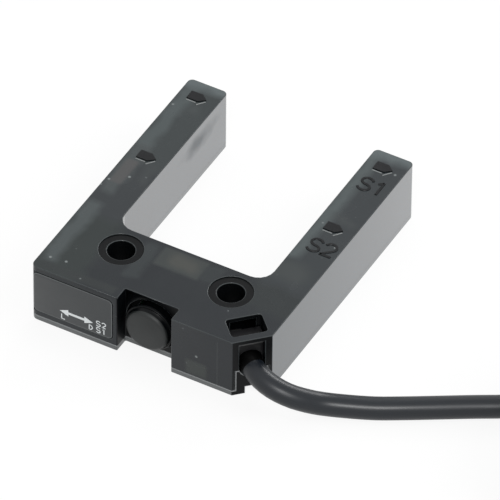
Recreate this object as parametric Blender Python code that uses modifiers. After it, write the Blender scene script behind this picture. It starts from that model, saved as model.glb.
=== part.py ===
"""Fork sensor: a U-shaped photoelectric sensor with a cable, modelled as separate pieces.

Units are metres, +Z up. The pieces are laid out from the front left corner of the body (X along
the base, Y from the label face to the arm tips) under one empty that puts the origin at the
bottom centre of the body.
"""

import math

import bmesh
import bpy
from mathutils import Matrix, Vector

# Body outline
SLOT_WIDTH = 0.0250
ARM_WIDTH = 0.0065
BODY_LENGTH = 0.0472
BODY_HEIGHT = 0.0105
BASE_DEPTH = 0.0138
SLOT_FILLET = 0.0026
TIP_ROUND = 0.0008
FRONT_ROUND = 0.0010
CHAMFER_LEG = 0.0043
NOTCH_WIDTH = 0.0090
NOTCH_DEPTH = 0.0025
SMALL_ROUND = 0.0002
BODY_WIDTH = SLOT_WIDTH + 2 * ARM_WIDTH

# Shells
WALL = 0.0010
TOP_WALL = 0.0010
COVER_THICKNESS = 0.00085
SEAM = 0.00012
TOP_EDGE_ROUND = 0.00035
CLEARANCE = 0.0003

# Mounting holes
HOLE_PITCH = 0.0184
HOLE_TO_SLOT = 0.00435
HOLE_DIAMETER = 0.0042
SEAT_DIAMETER = 0.0067
SEAT_DEPTH = 0.0002

# Selector recess in the notch, and its cap
RECESS_DEPTH = 0.0015
RECESS_SIDE_WALL = 0.0002
RECESS_TOP_WALL = 0.0007
RECESS_BOTTOM_WALL = 0.00023
RECESS_WALL = 0.0006
RECESS_FLOOR = 0.0008
CAP_SIDE_GAP = 0.00035
CAP_RIM_LAND = 0.0003
CAP_DOME_RISE = 0.0008
CAP_RIM = 0.00045
CAP_FRONT_SETBACK = 0.0002
CAP_BODY_LENGTH = 0.0017
CAP_STEM_INSET = 0.00095
CAP_STEM_WALL = 0.0006

# Selector switch
SWITCH_WIDTH = 0.0056
SWITCH_DEPTH = 0.0026
SLIDER_WIDTH = 0.0014
SLIDER_HEIGHT = 0.0010
SLIDER_LENGTH = 0.0016
SLIDER_PROUD = 0.0003
SLIDER_TRAVEL = 0.0018
SLIDER_INSET = 0.0002

# Label
LABEL_WIDTH = 0.0132
LABEL_LEFT = 0.0005
LABEL_BOTTOM = 0.0019
LABEL_TOP_MARGIN = 0.0011
LABEL_THICKNESS = 0.00025
LABEL_PROUD = 0.00005
LABEL_GAP = 0.00010
LABEL_ROUND = 0.0008

# Cable exit
CABLE_DIAMETER = 0.0035
CABLE_EXIT_HEIGHT = 0.0052
CHANNEL_CLEARANCE = 0.0002
CHANNEL_TOP_WALL = 0.0008
WINDOW_LENGTH = 0.00545
WINDOW_WIDTH = 0.0038
WINDOW_SETBACK = 0.0012
WINDOW_ROUND = 0.0005
CHANNEL_BACK_WALL = 0.0008
LUG_WIDTH = 0.0050
LUG_DEPTH = 0.0012
LUG_HEIGHT = 0.0046
LUG_SLOT_WIDTH = 0.0020
LUG_SLOT_HEIGHT = 0.00125
CLAMP_WALL = 0.00105

# Moulded arrows on the arms
AXIS_ONE_FROM_TIP = 0.0033
AXIS_PITCH = 0.0151
ARROW_SETBACK = 0.0017
ARROW_LENGTH = 0.0029
ARROW_POINT = 0.0010
ARROW_WIDTH = 0.0017
ARROW_RISE = 0.00015

# Boards
BOARD_THICKNESS = 0.0008
ARM_BOARD_THICKNESS = 0.0006
ARM_BOARD_TOP_GAP = 0.00065
MAIN_BOARD_FRONT = 0.0017
LINK_DIAMETER = 0.0006
LINK_OVERLAP = 0.0012

# Packages on the main board: width, depth, height
CONTROL_IC_SIZE = (0.0040, 0.0030, 0.0009)
REGULATOR_SIZE = (0.0028, 0.0016, 0.0010)
CAPACITOR_SIZE = (0.0016, 0.0032, 0.0015)
CAPACITOR_SETBACK = 0.0015
TRANSISTOR_SIZE = (0.0024, 0.0013, 0.0010)
DIODE_SIZE = (0.0018, 0.0010, 0.0009)
INDICATOR_SIZE = (0.0016, 0.0010, 0.0008)
CRYSTAL_SIZE = (0.0025, 0.0016, 0.0007)
INDICATOR_PITCH = 0.0036
PACKAGE_ROUND = 0.00008

# Light guide over the indicators
GUIDE_GAP = 0.0016
GUIDE_FRONT_WIDTH = 0.0066
GUIDE_BACK_WIDTH = 0.0076

# Optics
LENS_DIAMETER = 0.0040
LENS_RIM = 0.0006
LENS_CROWN = 0.0006
HOLDER_THICKNESS = 0.0016
HOLDER_MARGIN = 0.00075
HOLDER_REACH = 0.0030
EMITTER_DIAMETER = 0.0018
EMITTER_LENGTH = 0.0010
RECEIVER_SIZE = 0.0022
RECEIVER_LENGTH = 0.0009

# Cable away from the body
COIL_MID_DIAMETER = 0.0420
COIL_LAYERS = 4
COIL_CENTRE = (0.1033, 0.0181)
TIE_WIDTH = 0.0030
TIE_THICKNESS = 0.0005
CORE_DIAMETER = 0.0010
CORE_PITCH = 0.0013
LEAD_DROP = 0.0021
LEAD_START = -4
LEAD_SWEEP = -130
LEAD_STEPS = 14
LEAD_FAN_STEPS = 6

BIG = 0.02
TIP_Y = BODY_LENGTH
MIDDLE_X = BODY_WIDTH / 2
HOUSING_BOTTOM = COVER_THICKNESS + SEAM
ROOM_TOP = BODY_HEIGHT - TOP_WALL
SLOT_LEFT = ARM_WIDTH
SLOT_RIGHT = ARM_WIDTH + SLOT_WIDTH
AXIS_ONE_Y = TIP_Y - AXIS_ONE_FROM_TIP
AXIS_TWO_Y = AXIS_ONE_Y - AXIS_PITCH
BEAM_HEIGHT = (HOUSING_BOTTOM + ROOM_TOP) / 2
HOLE_SETBACK = BASE_DEPTH - HOLE_TO_SLOT
HOLE_XS = (MIDDLE_X - HOLE_PITCH / 2, MIDDLE_X + HOLE_PITCH / 2)
CHAMFER_MIDDLE = Vector((BODY_WIDTH - CHAMFER_LEG / 2, CHAMFER_LEG / 2, 0))
CHAMFER_TURN = math.radians(45)
CHANNEL_WIDTH = CABLE_DIAMETER + 2 * CHANNEL_CLEARANCE
CHANNEL_DEPTH = WINDOW_SETBACK + WINDOW_WIDTH + CHANNEL_BACK_WALL
WINDOW_MIDDLE = WINDOW_SETBACK + WINDOW_WIDTH / 2
BOARD_BOTTOM = COVER_THICKNESS + CLEARANCE
BOARD_TOP = BOARD_BOTTOM + BOARD_THICKNESS
PART_BOTTOM = BOARD_TOP + CLEARANCE
ARM_BOARD_HEIGHT = ROOM_TOP - ARM_BOARD_TOP_GAP - BOARD_BOTTOM
HOLDER_HEIGHT = ROOM_TOP - HOUSING_BOTTOM - 2 * HOLDER_MARGIN
RECESS_DIAMETER = min(
    NOTCH_WIDTH - 2 * RECESS_SIDE_WALL,
    BODY_HEIGHT - RECESS_TOP_WALL - RECESS_BOTTOM_WALL - HOUSING_BOTTOM,
)
RECESS_HEIGHT = HOUSING_BOTTOM + RECESS_BOTTOM_WALL + RECESS_DIAMETER / 2
RECESS_BACK = NOTCH_DEPTH + RECESS_DEPTH + RECESS_FLOOR
CAP_DIAMETER = RECESS_DIAMETER - 2 * CAP_SIDE_GAP
CAP_DOME_DIAMETER = CAP_DIAMETER - 2 * CAP_RIM_LAND
CAP_STEM_DIAMETER = CAP_DIAMETER - 2 * CAP_STEM_INSET
SWITCH_HEIGHT = CAP_STEM_DIAMETER
SWITCH_FRONT = RECESS_BACK + CLEARANCE
SLIDER_PITCH = SWITCH_HEIGHT / 2 - SLIDER_INSET
LABEL_HEIGHT = BODY_HEIGHT - LABEL_TOP_MARGIN - LABEL_BOTTOM
BASE_BACK = BASE_DEPTH - WALL - CLEARANCE
GUIDE_FRONT = SWITCH_FRONT + SWITCH_DEPTH + GUIDE_GAP


def clear_scene():
    """Remove what the scene holds."""
    for thing in list(bpy.data.objects):
        bpy.data.objects.remove(thing, do_unlink=True)


def new_collection(name):
    collection = bpy.data.collections.new(name)
    bpy.context.scene.collection.children.link(collection)
    return collection


def make_material(name, colour, roughness, metallic=0.0):
    material = bpy.data.materials.new(name)
    material.use_nodes = True
    shader = material.node_tree.nodes["Principled BSDF"]
    shader.inputs["Base Color"].default_value = (*colour, 1.0)
    shader.inputs["Roughness"].default_value = roughness
    shader.inputs["Metallic"].default_value = metallic
    return material


def arc_points(centre, radius, start, end, steps):
    return [
        (
            centre[0] + radius * math.cos(start + (end - start) * i / steps),
            centre[1] + radius * math.sin(start + (end - start) * i / steps),
        )
        for i in range(steps + 1)
    ]


def rounded_outline(corners, steps=5):
    """Points of a closed outline whose corners (x, y, radius) are rounded by tangent arcs."""
    points = []
    count = len(corners)
    for index, (x, y, radius) in enumerate(corners):
        corner = Vector((x, y))
        before = Vector(corners[index - 1][:2]) - corner
        after = Vector(corners[(index + 1) % count][:2]) - corner
        if radius <= 0:
            points.append((x, y))
            continue
        before.normalize()
        after.normalize()
        half = before.angle(after) / 2
        reach = radius / math.tan(half)
        centre = corner + (before + after).normalized() * radius / math.sin(half)
        first = corner + before * reach - centre
        last = corner + after * reach - centre
        sweep = first.angle_signed(last)
        start = math.atan2(first.y, first.x)
        points += arc_points(centre, radius, start, start - sweep, steps)
    return points


def body_corners(inset):
    """Corners of the body outline, moved inwards by inset, counter-clockwise from the front left."""
    left = inset
    right = BODY_WIDTH - inset
    tip = TIP_Y - inset
    chamfer = CHAMFER_LEG + inset * (math.sqrt(2) - 2)
    notch_left = MIDDLE_X - NOTCH_WIDTH / 2 - inset
    notch_right = MIDDLE_X + NOTCH_WIDTH / 2 + inset
    notch_back = NOTCH_DEPTH + inset
    front_round = max(FRONT_ROUND - inset, SMALL_ROUND)
    tip_round = max(TIP_ROUND - inset, SMALL_ROUND)
    slot_round = SLOT_FILLET + inset
    return [
        (left, inset, front_round),
        (notch_left, inset, SMALL_ROUND),
        (notch_left, notch_back, SMALL_ROUND),
        (notch_right, notch_back, SMALL_ROUND),
        (notch_right, inset, SMALL_ROUND),
        (right - chamfer, inset, SMALL_ROUND),
        (right, inset + chamfer, SMALL_ROUND),
        (right, tip, tip_round),
        (SLOT_RIGHT + inset, tip, tip_round),
        (SLOT_RIGHT + inset, BASE_DEPTH - inset, slot_round),
        (SLOT_LEFT - inset, BASE_DEPTH - inset, slot_round),
        (SLOT_LEFT - inset, tip, tip_round),
        (left, tip, tip_round),
    ]


class Workshop:
    """Places finished objects under the body's empty, in the parts' or the cutters' collection."""

    def __init__(self):
        self.parts = new_collection("fork_sensor")
        self.cutters = new_collection("cutters")
        self.corner = bpy.data.objects.new("sensor_corner", None)
        self.corner.location = (-BODY_WIDTH / 2, -BODY_LENGTH / 2, 0)
        self.parts.objects.link(self.corner)

    def place(self, name, mesh, material=None, location=(0, 0, 0), turn=0.0):
        """Link a mesh as a part, or as a cutter when it has no material."""
        thing = bpy.data.objects.new(name, mesh)
        thing.location = location
        thing.rotation_euler = (0, 0, turn)
        thing.parent = self.corner
        if material is None:
            self.cutters.objects.link(thing)
            thing.hide_render = True
            thing.display_type = "WIRE"
        else:
            self.parts.objects.link(thing)
            mesh.materials.clear()
            mesh.materials.append(material)
        return thing


def box_mesh(name, size):
    work = bmesh.new()
    bmesh.ops.create_cube(work, size=1.0, matrix=Matrix.Diagonal((*size, 1.0)))
    mesh = bpy.data.meshes.new(name)
    work.to_mesh(mesh)
    work.free()
    return mesh


def cylinder_mesh(name, diameter, length, axis="Z", segments=32):
    turns = {
        "X": Matrix.Rotation(math.radians(90), 4, "Y"),
        "Y": Matrix.Rotation(math.radians(90), 4, "X"),
        "Z": Matrix.Identity(4),
    }
    work = bmesh.new()
    bmesh.ops.create_cone(
        work,
        cap_ends=True,
        segments=segments,
        radius1=diameter / 2,
        radius2=diameter / 2,
        depth=length,
        matrix=turns[axis],
    )
    mesh = bpy.data.meshes.new(name)
    work.to_mesh(mesh)
    work.free()
    return mesh


def mesh_from_curve(curve):
    """Turn a curve into a mesh whose caps are welded to its sides."""
    holder = bpy.data.objects.new("curve_holder", curve)
    bpy.context.scene.collection.objects.link(holder)
    bpy.context.view_layer.update()
    evaluated = holder.evaluated_get(bpy.context.evaluated_depsgraph_get())
    mesh = bpy.data.meshes.new_from_object(evaluated)
    bpy.data.objects.remove(holder, do_unlink=True)
    work = bmesh.new()
    work.from_mesh(mesh)
    bmesh.ops.remove_doubles(work, verts=work.verts, dist=1e-6)
    bmesh.ops.recalc_face_normals(work, faces=work.faces)
    work.to_mesh(mesh)
    work.free()
    return mesh


def plate_mesh(name, points, bottom, top):
    """A flat plate of the outline, from bottom to top in Z."""
    curve = bpy.data.curves.new(name, "CURVE")
    curve.dimensions = "2D"
    curve.fill_mode = "BOTH"
    curve.extrude = (top - bottom) / 2
    spline = curve.splines.new("POLY")
    spline.points.add(len(points) - 1)
    for spot, (x, y) in zip(spline.points, points):
        spot.co = (x, y, 0, 1)
    spline.use_cyclic_u = True
    mesh = mesh_from_curve(curve)
    mesh.name = name
    mesh.transform(Matrix.Translation((0, 0, (bottom + top) / 2)))
    return mesh


def tube_mesh(name, points, diameter, resolution=2):
    """A round tube with filled ends along the points."""
    curve = bpy.data.curves.new(name, "CURVE")
    curve.dimensions = "3D"
    curve.bevel_depth = diameter / 2
    curve.bevel_resolution = resolution
    curve.use_fill_caps = True
    spline = curve.splines.new("POLY")
    spline.points.add(len(points) - 1)
    for spot, point in zip(spline.points, points):
        spot.co = (*point, 1)
    mesh = mesh_from_curve(curve)
    mesh.name = name
    return mesh


def turned(workshop, name, profile, material, location, axis, steps, flip):
    """A solid of revolution: profile points (radius, distance along the axis)."""
    mesh = bpy.data.meshes.new(name)
    work = bmesh.new()
    previous = None
    for radius, distance in profile:
        spot = (distance, radius, 0) if axis == "X" else (radius, distance, 0)
        vertex = work.verts.new(spot)
        if previous is not None:
            work.edges.new((previous, vertex))
        previous = vertex
    work.to_mesh(mesh)
    work.free()
    thing = workshop.place(name, mesh, material, location)
    screw = thing.modifiers.new("turn", "SCREW")
    screw.axis = axis
    screw.steps = steps
    screw.render_steps = steps
    screw.use_merge_vertices = True
    screw.merge_threshold = 0.00001
    screw.use_normal_flip = flip
    return thing


def combine(thing, other, operation):
    modifier = thing.modifiers.new(f"{operation.lower()} {other.name}", "BOOLEAN")
    modifier.operation = operation
    modifier.object = other
    return modifier


def cut(thing, *cutters):
    for cutter in cutters:
        combine(thing, cutter, "DIFFERENCE")


def join(thing, *others):
    for other in others:
        combine(thing, other, "UNION")


def soften_edges(thing, width, segments=2):
    bevel = thing.modifiers.new("softened edges", "BEVEL")
    bevel.width = width
    bevel.segments = segments
    bevel.limit_method = "ANGLE"
    bevel.angle_limit = math.radians(50)


def mark_rim(mesh, height):
    """Give the edges at one height a bevel weight, so that only they are rounded."""
    work = bmesh.new()
    work.from_mesh(mesh)
    weights = work.edges.layers.float.new("bevel_weight_edge")
    for edge in work.edges:
        level = all(abs(vertex.co.z - height) < 1e-6 for vertex in edge.verts)
        if level and any(abs(face.normal.z) < 0.5 for face in edge.link_faces):
            edge[weights] = 1.0
    work.to_mesh(mesh)
    work.free()


def at_chamfer(along, inward, height):
    """A point given from the middle of the chamfer's face: along it, inwards, and up."""
    side = Vector((math.cos(CHAMFER_TURN), math.sin(CHAMFER_TURN), 0))
    inwards = Vector((-side.y, side.x, 0))
    return CHAMFER_MIDDLE + side * along + inwards * inward + Vector((0, 0, height))


def chamfer_box(workshop, name, width, inner, outer, bottom, top, along=0.0):
    """A cutter square to the chamfer, from outer (outside) to inner (inside)."""
    place = at_chamfer(along, (inner + outer) / 2, (bottom + top) / 2)
    mesh = box_mesh(name, (width, abs(inner - outer), top - bottom))
    return workshop.place(name, mesh, None, place, CHAMFER_TURN)


def arrow_outline():
    """Flat arrow that points along +X, from its middle left."""
    half = ARROW_WIDTH / 2
    shaft = ARROW_LENGTH - ARROW_POINT
    return [(0, -half), (shaft, -half), (ARROW_LENGTH, 0), (shaft, half), (0, half)]


def make_room(workshop):
    """The space inside the housing, around the bosses, the cup and the channel block."""
    room = workshop.place(
        "room",
        plate_mesh("room", rounded_outline(body_corners(WALL)), HOUSING_BOTTOM - WALL, ROOM_TOP),
    )
    tall = BODY_HEIGHT + BIG
    for index, x in enumerate(HOLE_XS):
        boss = workshop.place(
            f"boss_{index + 1}",
            cylinder_mesh("boss", SEAT_DIAMETER, tall),
            None,
            (x, HOLE_SETBACK, 0),
        )
        rib_length = BASE_DEPTH - HOLE_SETBACK
        rib = workshop.place(
            f"boss_rib_{index + 1}",
            box_mesh("boss_rib", (SEAT_DIAMETER / 2, rib_length, tall)),
            None,
            (x, HOLE_SETBACK + rib_length / 2, 0),
        )
        cut(room, boss, rib)
    cup_length = RECESS_BACK
    cup = workshop.place(
        "cup",
        cylinder_mesh("cup", RECESS_DIAMETER + 2 * RECESS_WALL, cup_length, "Y", 40),
        None,
        (MIDDLE_X, RECESS_BACK - cup_length / 2, RECESS_HEIGHT),
    )
    block_width = WINDOW_LENGTH + 2 * CHANNEL_BACK_WALL
    block_top = BODY_HEIGHT + BIG
    block = chamfer_box(
        workshop, "channel_block", block_width, CHANNEL_DEPTH, -BIG / 4, -BIG / 2, block_top
    )
    cut(room, cup, block)
    return room


def make_housing(workshop, material):
    """The moulded upper shell, open below."""
    mesh = plate_mesh("housing", rounded_outline(body_corners(0)), HOUSING_BOTTOM, BODY_HEIGHT)
    mark_rim(mesh, BODY_HEIGHT)
    housing = workshop.place("housing", mesh, material)
    rim = housing.modifiers.new("rounded rim", "BEVEL")
    rim.width = TOP_EDGE_ROUND
    rim.segments = 2
    rim.limit_method = "WEIGHT"
    cut(housing, make_room(workshop))
    for index, x in enumerate(HOLE_XS):
        bore = workshop.place(
            f"bore_{index + 1}",
            cylinder_mesh("bore", HOLE_DIAMETER, 2 * BODY_HEIGHT + BIG),
            None,
            (x, HOLE_SETBACK, 0),
        )
        seat = workshop.place(
            f"seat_{index + 1}",
            cylinder_mesh("seat", SEAT_DIAMETER, 2 * SEAT_DEPTH),
            None,
            (x, HOLE_SETBACK, BODY_HEIGHT),
        )
        cut(housing, seat, bore)
    recess = workshop.place(
        "cap_recess",
        cylinder_mesh("cap_recess", RECESS_DIAMETER, NOTCH_DEPTH + RECESS_DEPTH, "Y", 40),
        None,
        (MIDDLE_X, (NOTCH_DEPTH + RECESS_DEPTH) / 2, RECESS_HEIGHT),
    )
    stem_hole = workshop.place(
        "stem_hole",
        cylinder_mesh("stem_hole", CAP_STEM_DIAMETER + 2 * CLEARANCE, 2 * RECESS_BACK, "Y", 32),
        None,
        (MIDDLE_X, RECESS_BACK, RECESS_HEIGHT),
    )
    channel_inner = CHANNEL_DEPTH + BIG / 20
    channel_top = BODY_HEIGHT - CHANNEL_TOP_WALL
    channel = chamfer_box(
        workshop, "channel", CHANNEL_WIDTH, channel_inner, -BIG / 4, -BIG / 10, channel_top
    )
    half_length = WINDOW_LENGTH / 2
    half_width = WINDOW_WIDTH / 2
    window = workshop.place(
        "window",
        plate_mesh(
            "window",
            rounded_outline(
                [
                    (-half_length, -half_width, WINDOW_ROUND),
                    (half_length, -half_width, WINDOW_ROUND),
                    (half_length, half_width, WINDOW_ROUND),
                    (-half_length, half_width, WINDOW_ROUND),
                ],
                3,
            ),
            -BODY_HEIGHT,
            2 * BODY_HEIGHT,
        ),
        None,
        at_chamfer(0, WINDOW_MIDDLE, 0),
        CHAMFER_TURN,
    )
    lug_room = chamfer_box(
        workshop,
        "lug_room",
        LUG_WIDTH + 2 * SEAM,
        LUG_DEPTH + SEAM,
        -BIG / 4,
        -BIG / 10,
        LUG_HEIGHT + SEAM,
    )
    pocket_back = -LABEL_THICKNESS + LABEL_PROUD - LABEL_GAP
    pocket = workshop.place(
        "label_pocket",
        plate_mesh("label_pocket", label_outline(LABEL_GAP), pocket_back, WALL),
        None,
    )
    stand_up(pocket)
    cut(housing, recess, stem_hole, channel, window, lug_room, pocket)
    arrow_bottom = BODY_HEIGHT - TOP_WALL / 2
    arrow = plate_mesh("arrow", arrow_outline(), arrow_bottom, BODY_HEIGHT + ARROW_RISE)
    for name, arm in (("left", 0.0), ("right", SLOT_RIGHT)):
        for number, y in ((1, AXIS_ONE_Y), (2, AXIS_TWO_Y)):
            place = (arm + ARROW_SETBACK, y, 0)
            join(housing, workshop.place(f"arrow_{name}_{number}", arrow, None, place))
    return housing


def stand_up(thing):
    """Turn a flat plate so that its top faces the front, with its Y upwards."""
    thing.rotation_euler = (math.radians(90), 0, 0)


def label_outline(margin):
    left = LABEL_LEFT - margin
    right = LABEL_LEFT + LABEL_WIDTH + margin
    bottom = LABEL_BOTTOM - margin
    top = LABEL_BOTTOM + LABEL_HEIGHT + margin
    return rounded_outline(
        [
            (left, bottom, SMALL_ROUND),
            (right, bottom, LABEL_ROUND),
            (right, top, LABEL_ROUND),
            (left, top, SMALL_ROUND),
        ],
        4,
    )


def make_label(workshop, material):
    mesh = plate_mesh("label_plate", label_outline(0), -LABEL_THICKNESS + LABEL_PROUD, LABEL_PROUD)
    label = workshop.place("label_plate", mesh, material)
    stand_up(label)


def make_cover(workshop, material):
    """The bottom cover: a plate of the body outline with the lug that carries the cable."""
    mesh = plate_mesh("base_cover", rounded_outline(body_corners(0)), 0, COVER_THICKNESS)
    cover = workshop.place("base_cover", mesh, material)
    lug = chamfer_box(
        workshop, "cable_lug", LUG_WIDTH, LUG_DEPTH, 0, COVER_THICKNESS / 2, LUG_HEIGHT
    )
    join(cover, lug)
    cradle_length = BIG / 2
    cradle = workshop.place(
        "cradle",
        cylinder_mesh("cradle", CHANNEL_WIDTH, cradle_length, "Y", 32),
        None,
        at_chamfer(0, 0, CABLE_EXIT_HEIGHT),
        CHAMFER_TURN,
    )
    slot = chamfer_box(
        workshop,
        "lug_slot",
        LUG_SLOT_WIDTH,
        LUG_DEPTH + SEAM,
        -BIG / 4,
        -COVER_THICKNESS,
        LUG_SLOT_HEIGHT,
    )
    cut(cover, cradle, slot)
    for index, x in enumerate(HOLE_XS):
        hole = workshop.place(
            f"cover_hole_{index + 1}",
            cylinder_mesh("cover_hole", HOLE_DIAMETER, BIG),
            None,
            (x, HOLE_SETBACK, 0),
        )
        cut(cover, hole)


def make_cap(workshop, material):
    """The domed push-fit cap over the selectors, turned about the Y axis."""
    front = CAP_FRONT_SETBACK
    radius = CAP_DOME_DIAMETER / 2
    sphere = (radius**2 + CAP_DOME_RISE**2) / (2 * CAP_DOME_RISE)
    steps = 6
    dome = []
    for index in range(steps + 1):
        r = radius * index / steps
        dome.append((r, front + sphere - math.sqrt(sphere**2 - r**2)))
    rim_front = front + CAP_BODY_LENGTH - CAP_RIM
    rim_back = front + CAP_BODY_LENGTH
    stem = CAP_STEM_DIAMETER / 2
    stem_back = RECESS_BACK - CLEARANCE
    profile = dome + [
        (radius, rim_front),
        (CAP_DIAMETER / 2, rim_front),
        (CAP_DIAMETER / 2, rim_back),
        (stem, rim_back),
        (stem, stem_back),
        (stem - CAP_STEM_WALL, stem_back),
        (stem - CAP_STEM_WALL, rim_back),
        (0, rim_back),
    ]
    turned(workshop, "selector_cap", profile, material, (MIDDLE_X, 0, RECESS_HEIGHT), "Y", 36, True)


def make_switches(workshop, body_material, slider_material):
    """The twin slide switch behind the cap, with one slider for each beam."""
    front = SWITCH_FRONT
    middle = Vector((MIDDLE_X, front + SWITCH_DEPTH / 2, RECESS_HEIGHT))
    body = workshop.place(
        "mode_switch_body",
        box_mesh("mode_switch_body", (SWITCH_WIDTH, SWITCH_DEPTH, SWITCH_HEIGHT)),
        body_material,
        middle,
    )
    slot_width = SLIDER_WIDTH + SLIDER_TRAVEL + 2 * CLEARANCE
    slot_depth = SLIDER_LENGTH - SLIDER_PROUD + CLEARANCE
    for name, side in (("mode_slider_s1", -1), ("mode_slider_s2", 1)):
        height = RECESS_HEIGHT + side * SLIDER_PITCH / 2
        slot = workshop.place(
            f"{name}_slot",
            box_mesh("slider_slot", (slot_width, 2 * slot_depth, SLIDER_HEIGHT + 2 * CLEARANCE)),
            None,
            (MIDDLE_X, front, height),
        )
        cut(body, slot)
        place = (MIDDLE_X - SLIDER_TRAVEL / 2, front - SLIDER_PROUD + SLIDER_LENGTH / 2, height)
        mesh = box_mesh(name, (SLIDER_WIDTH, SLIDER_LENGTH, SLIDER_HEIGHT))
        workshop.place(name, mesh, slider_material, place)


def main_board_corners():
    """The board fills the base between the walls, behind the cup and left of the channel block."""
    left = WALL + CLEARANCE
    front = MAIN_BOARD_FRONT
    back = BASE_BACK
    cup_half = max(NOTCH_WIDTH / 2 + WALL, RECESS_DIAMETER / 2 + RECESS_WALL) + CLEARANCE
    cup_back = RECESS_BACK + CLEARANCE
    block_half = WINDOW_LENGTH / 2 + CHANNEL_BACK_WALL + CLEARANCE
    block_side = at_chamfer(-block_half, 0, 0)
    block_line = block_side.x + block_side.y
    inner = at_chamfer(0, CHANNEL_DEPTH + CLEARANCE, 0)
    inner_line = inner.x - inner.y
    block_x = (block_line + inner_line) / 2
    right_x = HOLE_XS[1]
    return [
        (left, front),
        (MIDDLE_X - cup_half, front),
        (MIDDLE_X - cup_half, cup_back),
        (MIDDLE_X + cup_half, cup_back),
        (MIDDLE_X + cup_half, front),
        (block_line - front, front),
        (block_x, block_line - block_x),
        (right_x, right_x - inner_line),
        (right_x, back),
        (left, back),
    ]


def make_main_board(workshop, material):
    corners = [(x, y, SMALL_ROUND) for x, y in main_board_corners()]
    mesh = plate_mesh("main_board", rounded_outline(corners, 2), BOARD_BOTTOM, BOARD_TOP)
    board = workshop.place("main_board", mesh, material)
    notch_depth = BASE_DEPTH - HOLE_SETBACK
    for index, x in enumerate(HOLE_XS):
        clear = workshop.place(
            f"board_hole_{index + 1}",
            cylinder_mesh("board_hole", SEAT_DIAMETER + 2 * CLEARANCE, BIG),
            None,
            (x, HOLE_SETBACK, 0),
        )
        behind = workshop.place(
            f"board_notch_{index + 1}",
            box_mesh("board_notch", (SEAT_DIAMETER + 2 * CLEARANCE, notch_depth, BIG)),
            None,
            (x, HOLE_SETBACK + notch_depth / 2, 0),
        )
        cut(board, clear, behind)


def make_board_parts(workshop, materials):
    """The packages that sit on the main board, each placed by its middle."""
    chip, metal, amber, tan = (materials[name] for name in ("chip", "tin", "amber", "tantalum"))
    spacing = 2 * CLEARANCE
    front = MAIN_BOARD_FRONT + CLEARANCE
    left = WALL + 2 * CLEARANCE
    ic_x = left + CONTROL_IC_SIZE[0] / 2
    regulator_x = left + CONTROL_IC_SIZE[0] + spacing + REGULATOR_SIZE[0] / 2
    crystal_x = regulator_x + (REGULATOR_SIZE[0] + CRYSTAL_SIZE[0]) / 2 + spacing
    capacitor_y = BASE_BACK - CAPACITOR_SETBACK - CAPACITOR_SIZE[1] / 2
    right = MIDDLE_X + NOTCH_WIDTH / 2 + WALL + spacing
    diode_x = right + TRANSISTOR_SIZE[0] + spacing + DIODE_SIZE[0] / 2
    guide_y = (GUIDE_FRONT + BASE_BACK) / 2
    packages = (
        ("control_ic", chip, CONTROL_IC_SIZE, ic_x, front + CONTROL_IC_SIZE[1] / 2),
        ("voltage_regulator", chip, REGULATOR_SIZE, regulator_x, front + REGULATOR_SIZE[1] / 2),
        ("clock_crystal", metal, CRYSTAL_SIZE, crystal_x, front + CRYSTAL_SIZE[1] / 2),
        ("bypass_capacitor", tan, CAPACITOR_SIZE, ARM_WIDTH / 2, capacitor_y),
        (
            "output_transistor",
            chip,
            TRANSISTOR_SIZE,
            right + TRANSISTOR_SIZE[0] / 2,
            front + TRANSISTOR_SIZE[1] / 2,
        ),
        ("protection_diode", chip, DIODE_SIZE, diode_x, front + DIODE_SIZE[1] / 2),
        ("indicator_led_s1", amber, INDICATOR_SIZE, MIDDLE_X - INDICATOR_PITCH / 2, guide_y),
        ("indicator_led_s2", amber, INDICATOR_SIZE, MIDDLE_X + INDICATOR_PITCH / 2, guide_y),
    )
    for name, material, size, x, y in packages:
        place = (x, y, PART_BOTTOM + size[2] / 2)
        thing = workshop.place(name, box_mesh(name, size), material, place)
        soften_edges(thing, PACKAGE_ROUND, 1)


def make_light_guide(workshop, material):
    """The clear block that brings the indicator light up to the window patch in the top wall."""
    bottom = PART_BOTTOM + INDICATOR_SIZE[2] + CLEARANCE
    top = ROOM_TOP - CLEARANCE
    outline = rounded_outline(
        [
            (MIDDLE_X - GUIDE_FRONT_WIDTH / 2, GUIDE_FRONT, SMALL_ROUND),
            (MIDDLE_X + GUIDE_FRONT_WIDTH / 2, GUIDE_FRONT, SMALL_ROUND),
            (MIDDLE_X + GUIDE_BACK_WIDTH / 2, BASE_BACK, SMALL_ROUND),
            (MIDDLE_X - GUIDE_BACK_WIDTH / 2, BASE_BACK, SMALL_ROUND),
        ],
        3,
    )
    mesh = plate_mesh("indicator_light_guide", outline, bottom, top)
    workshop.place("indicator_light_guide", mesh, material)


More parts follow.
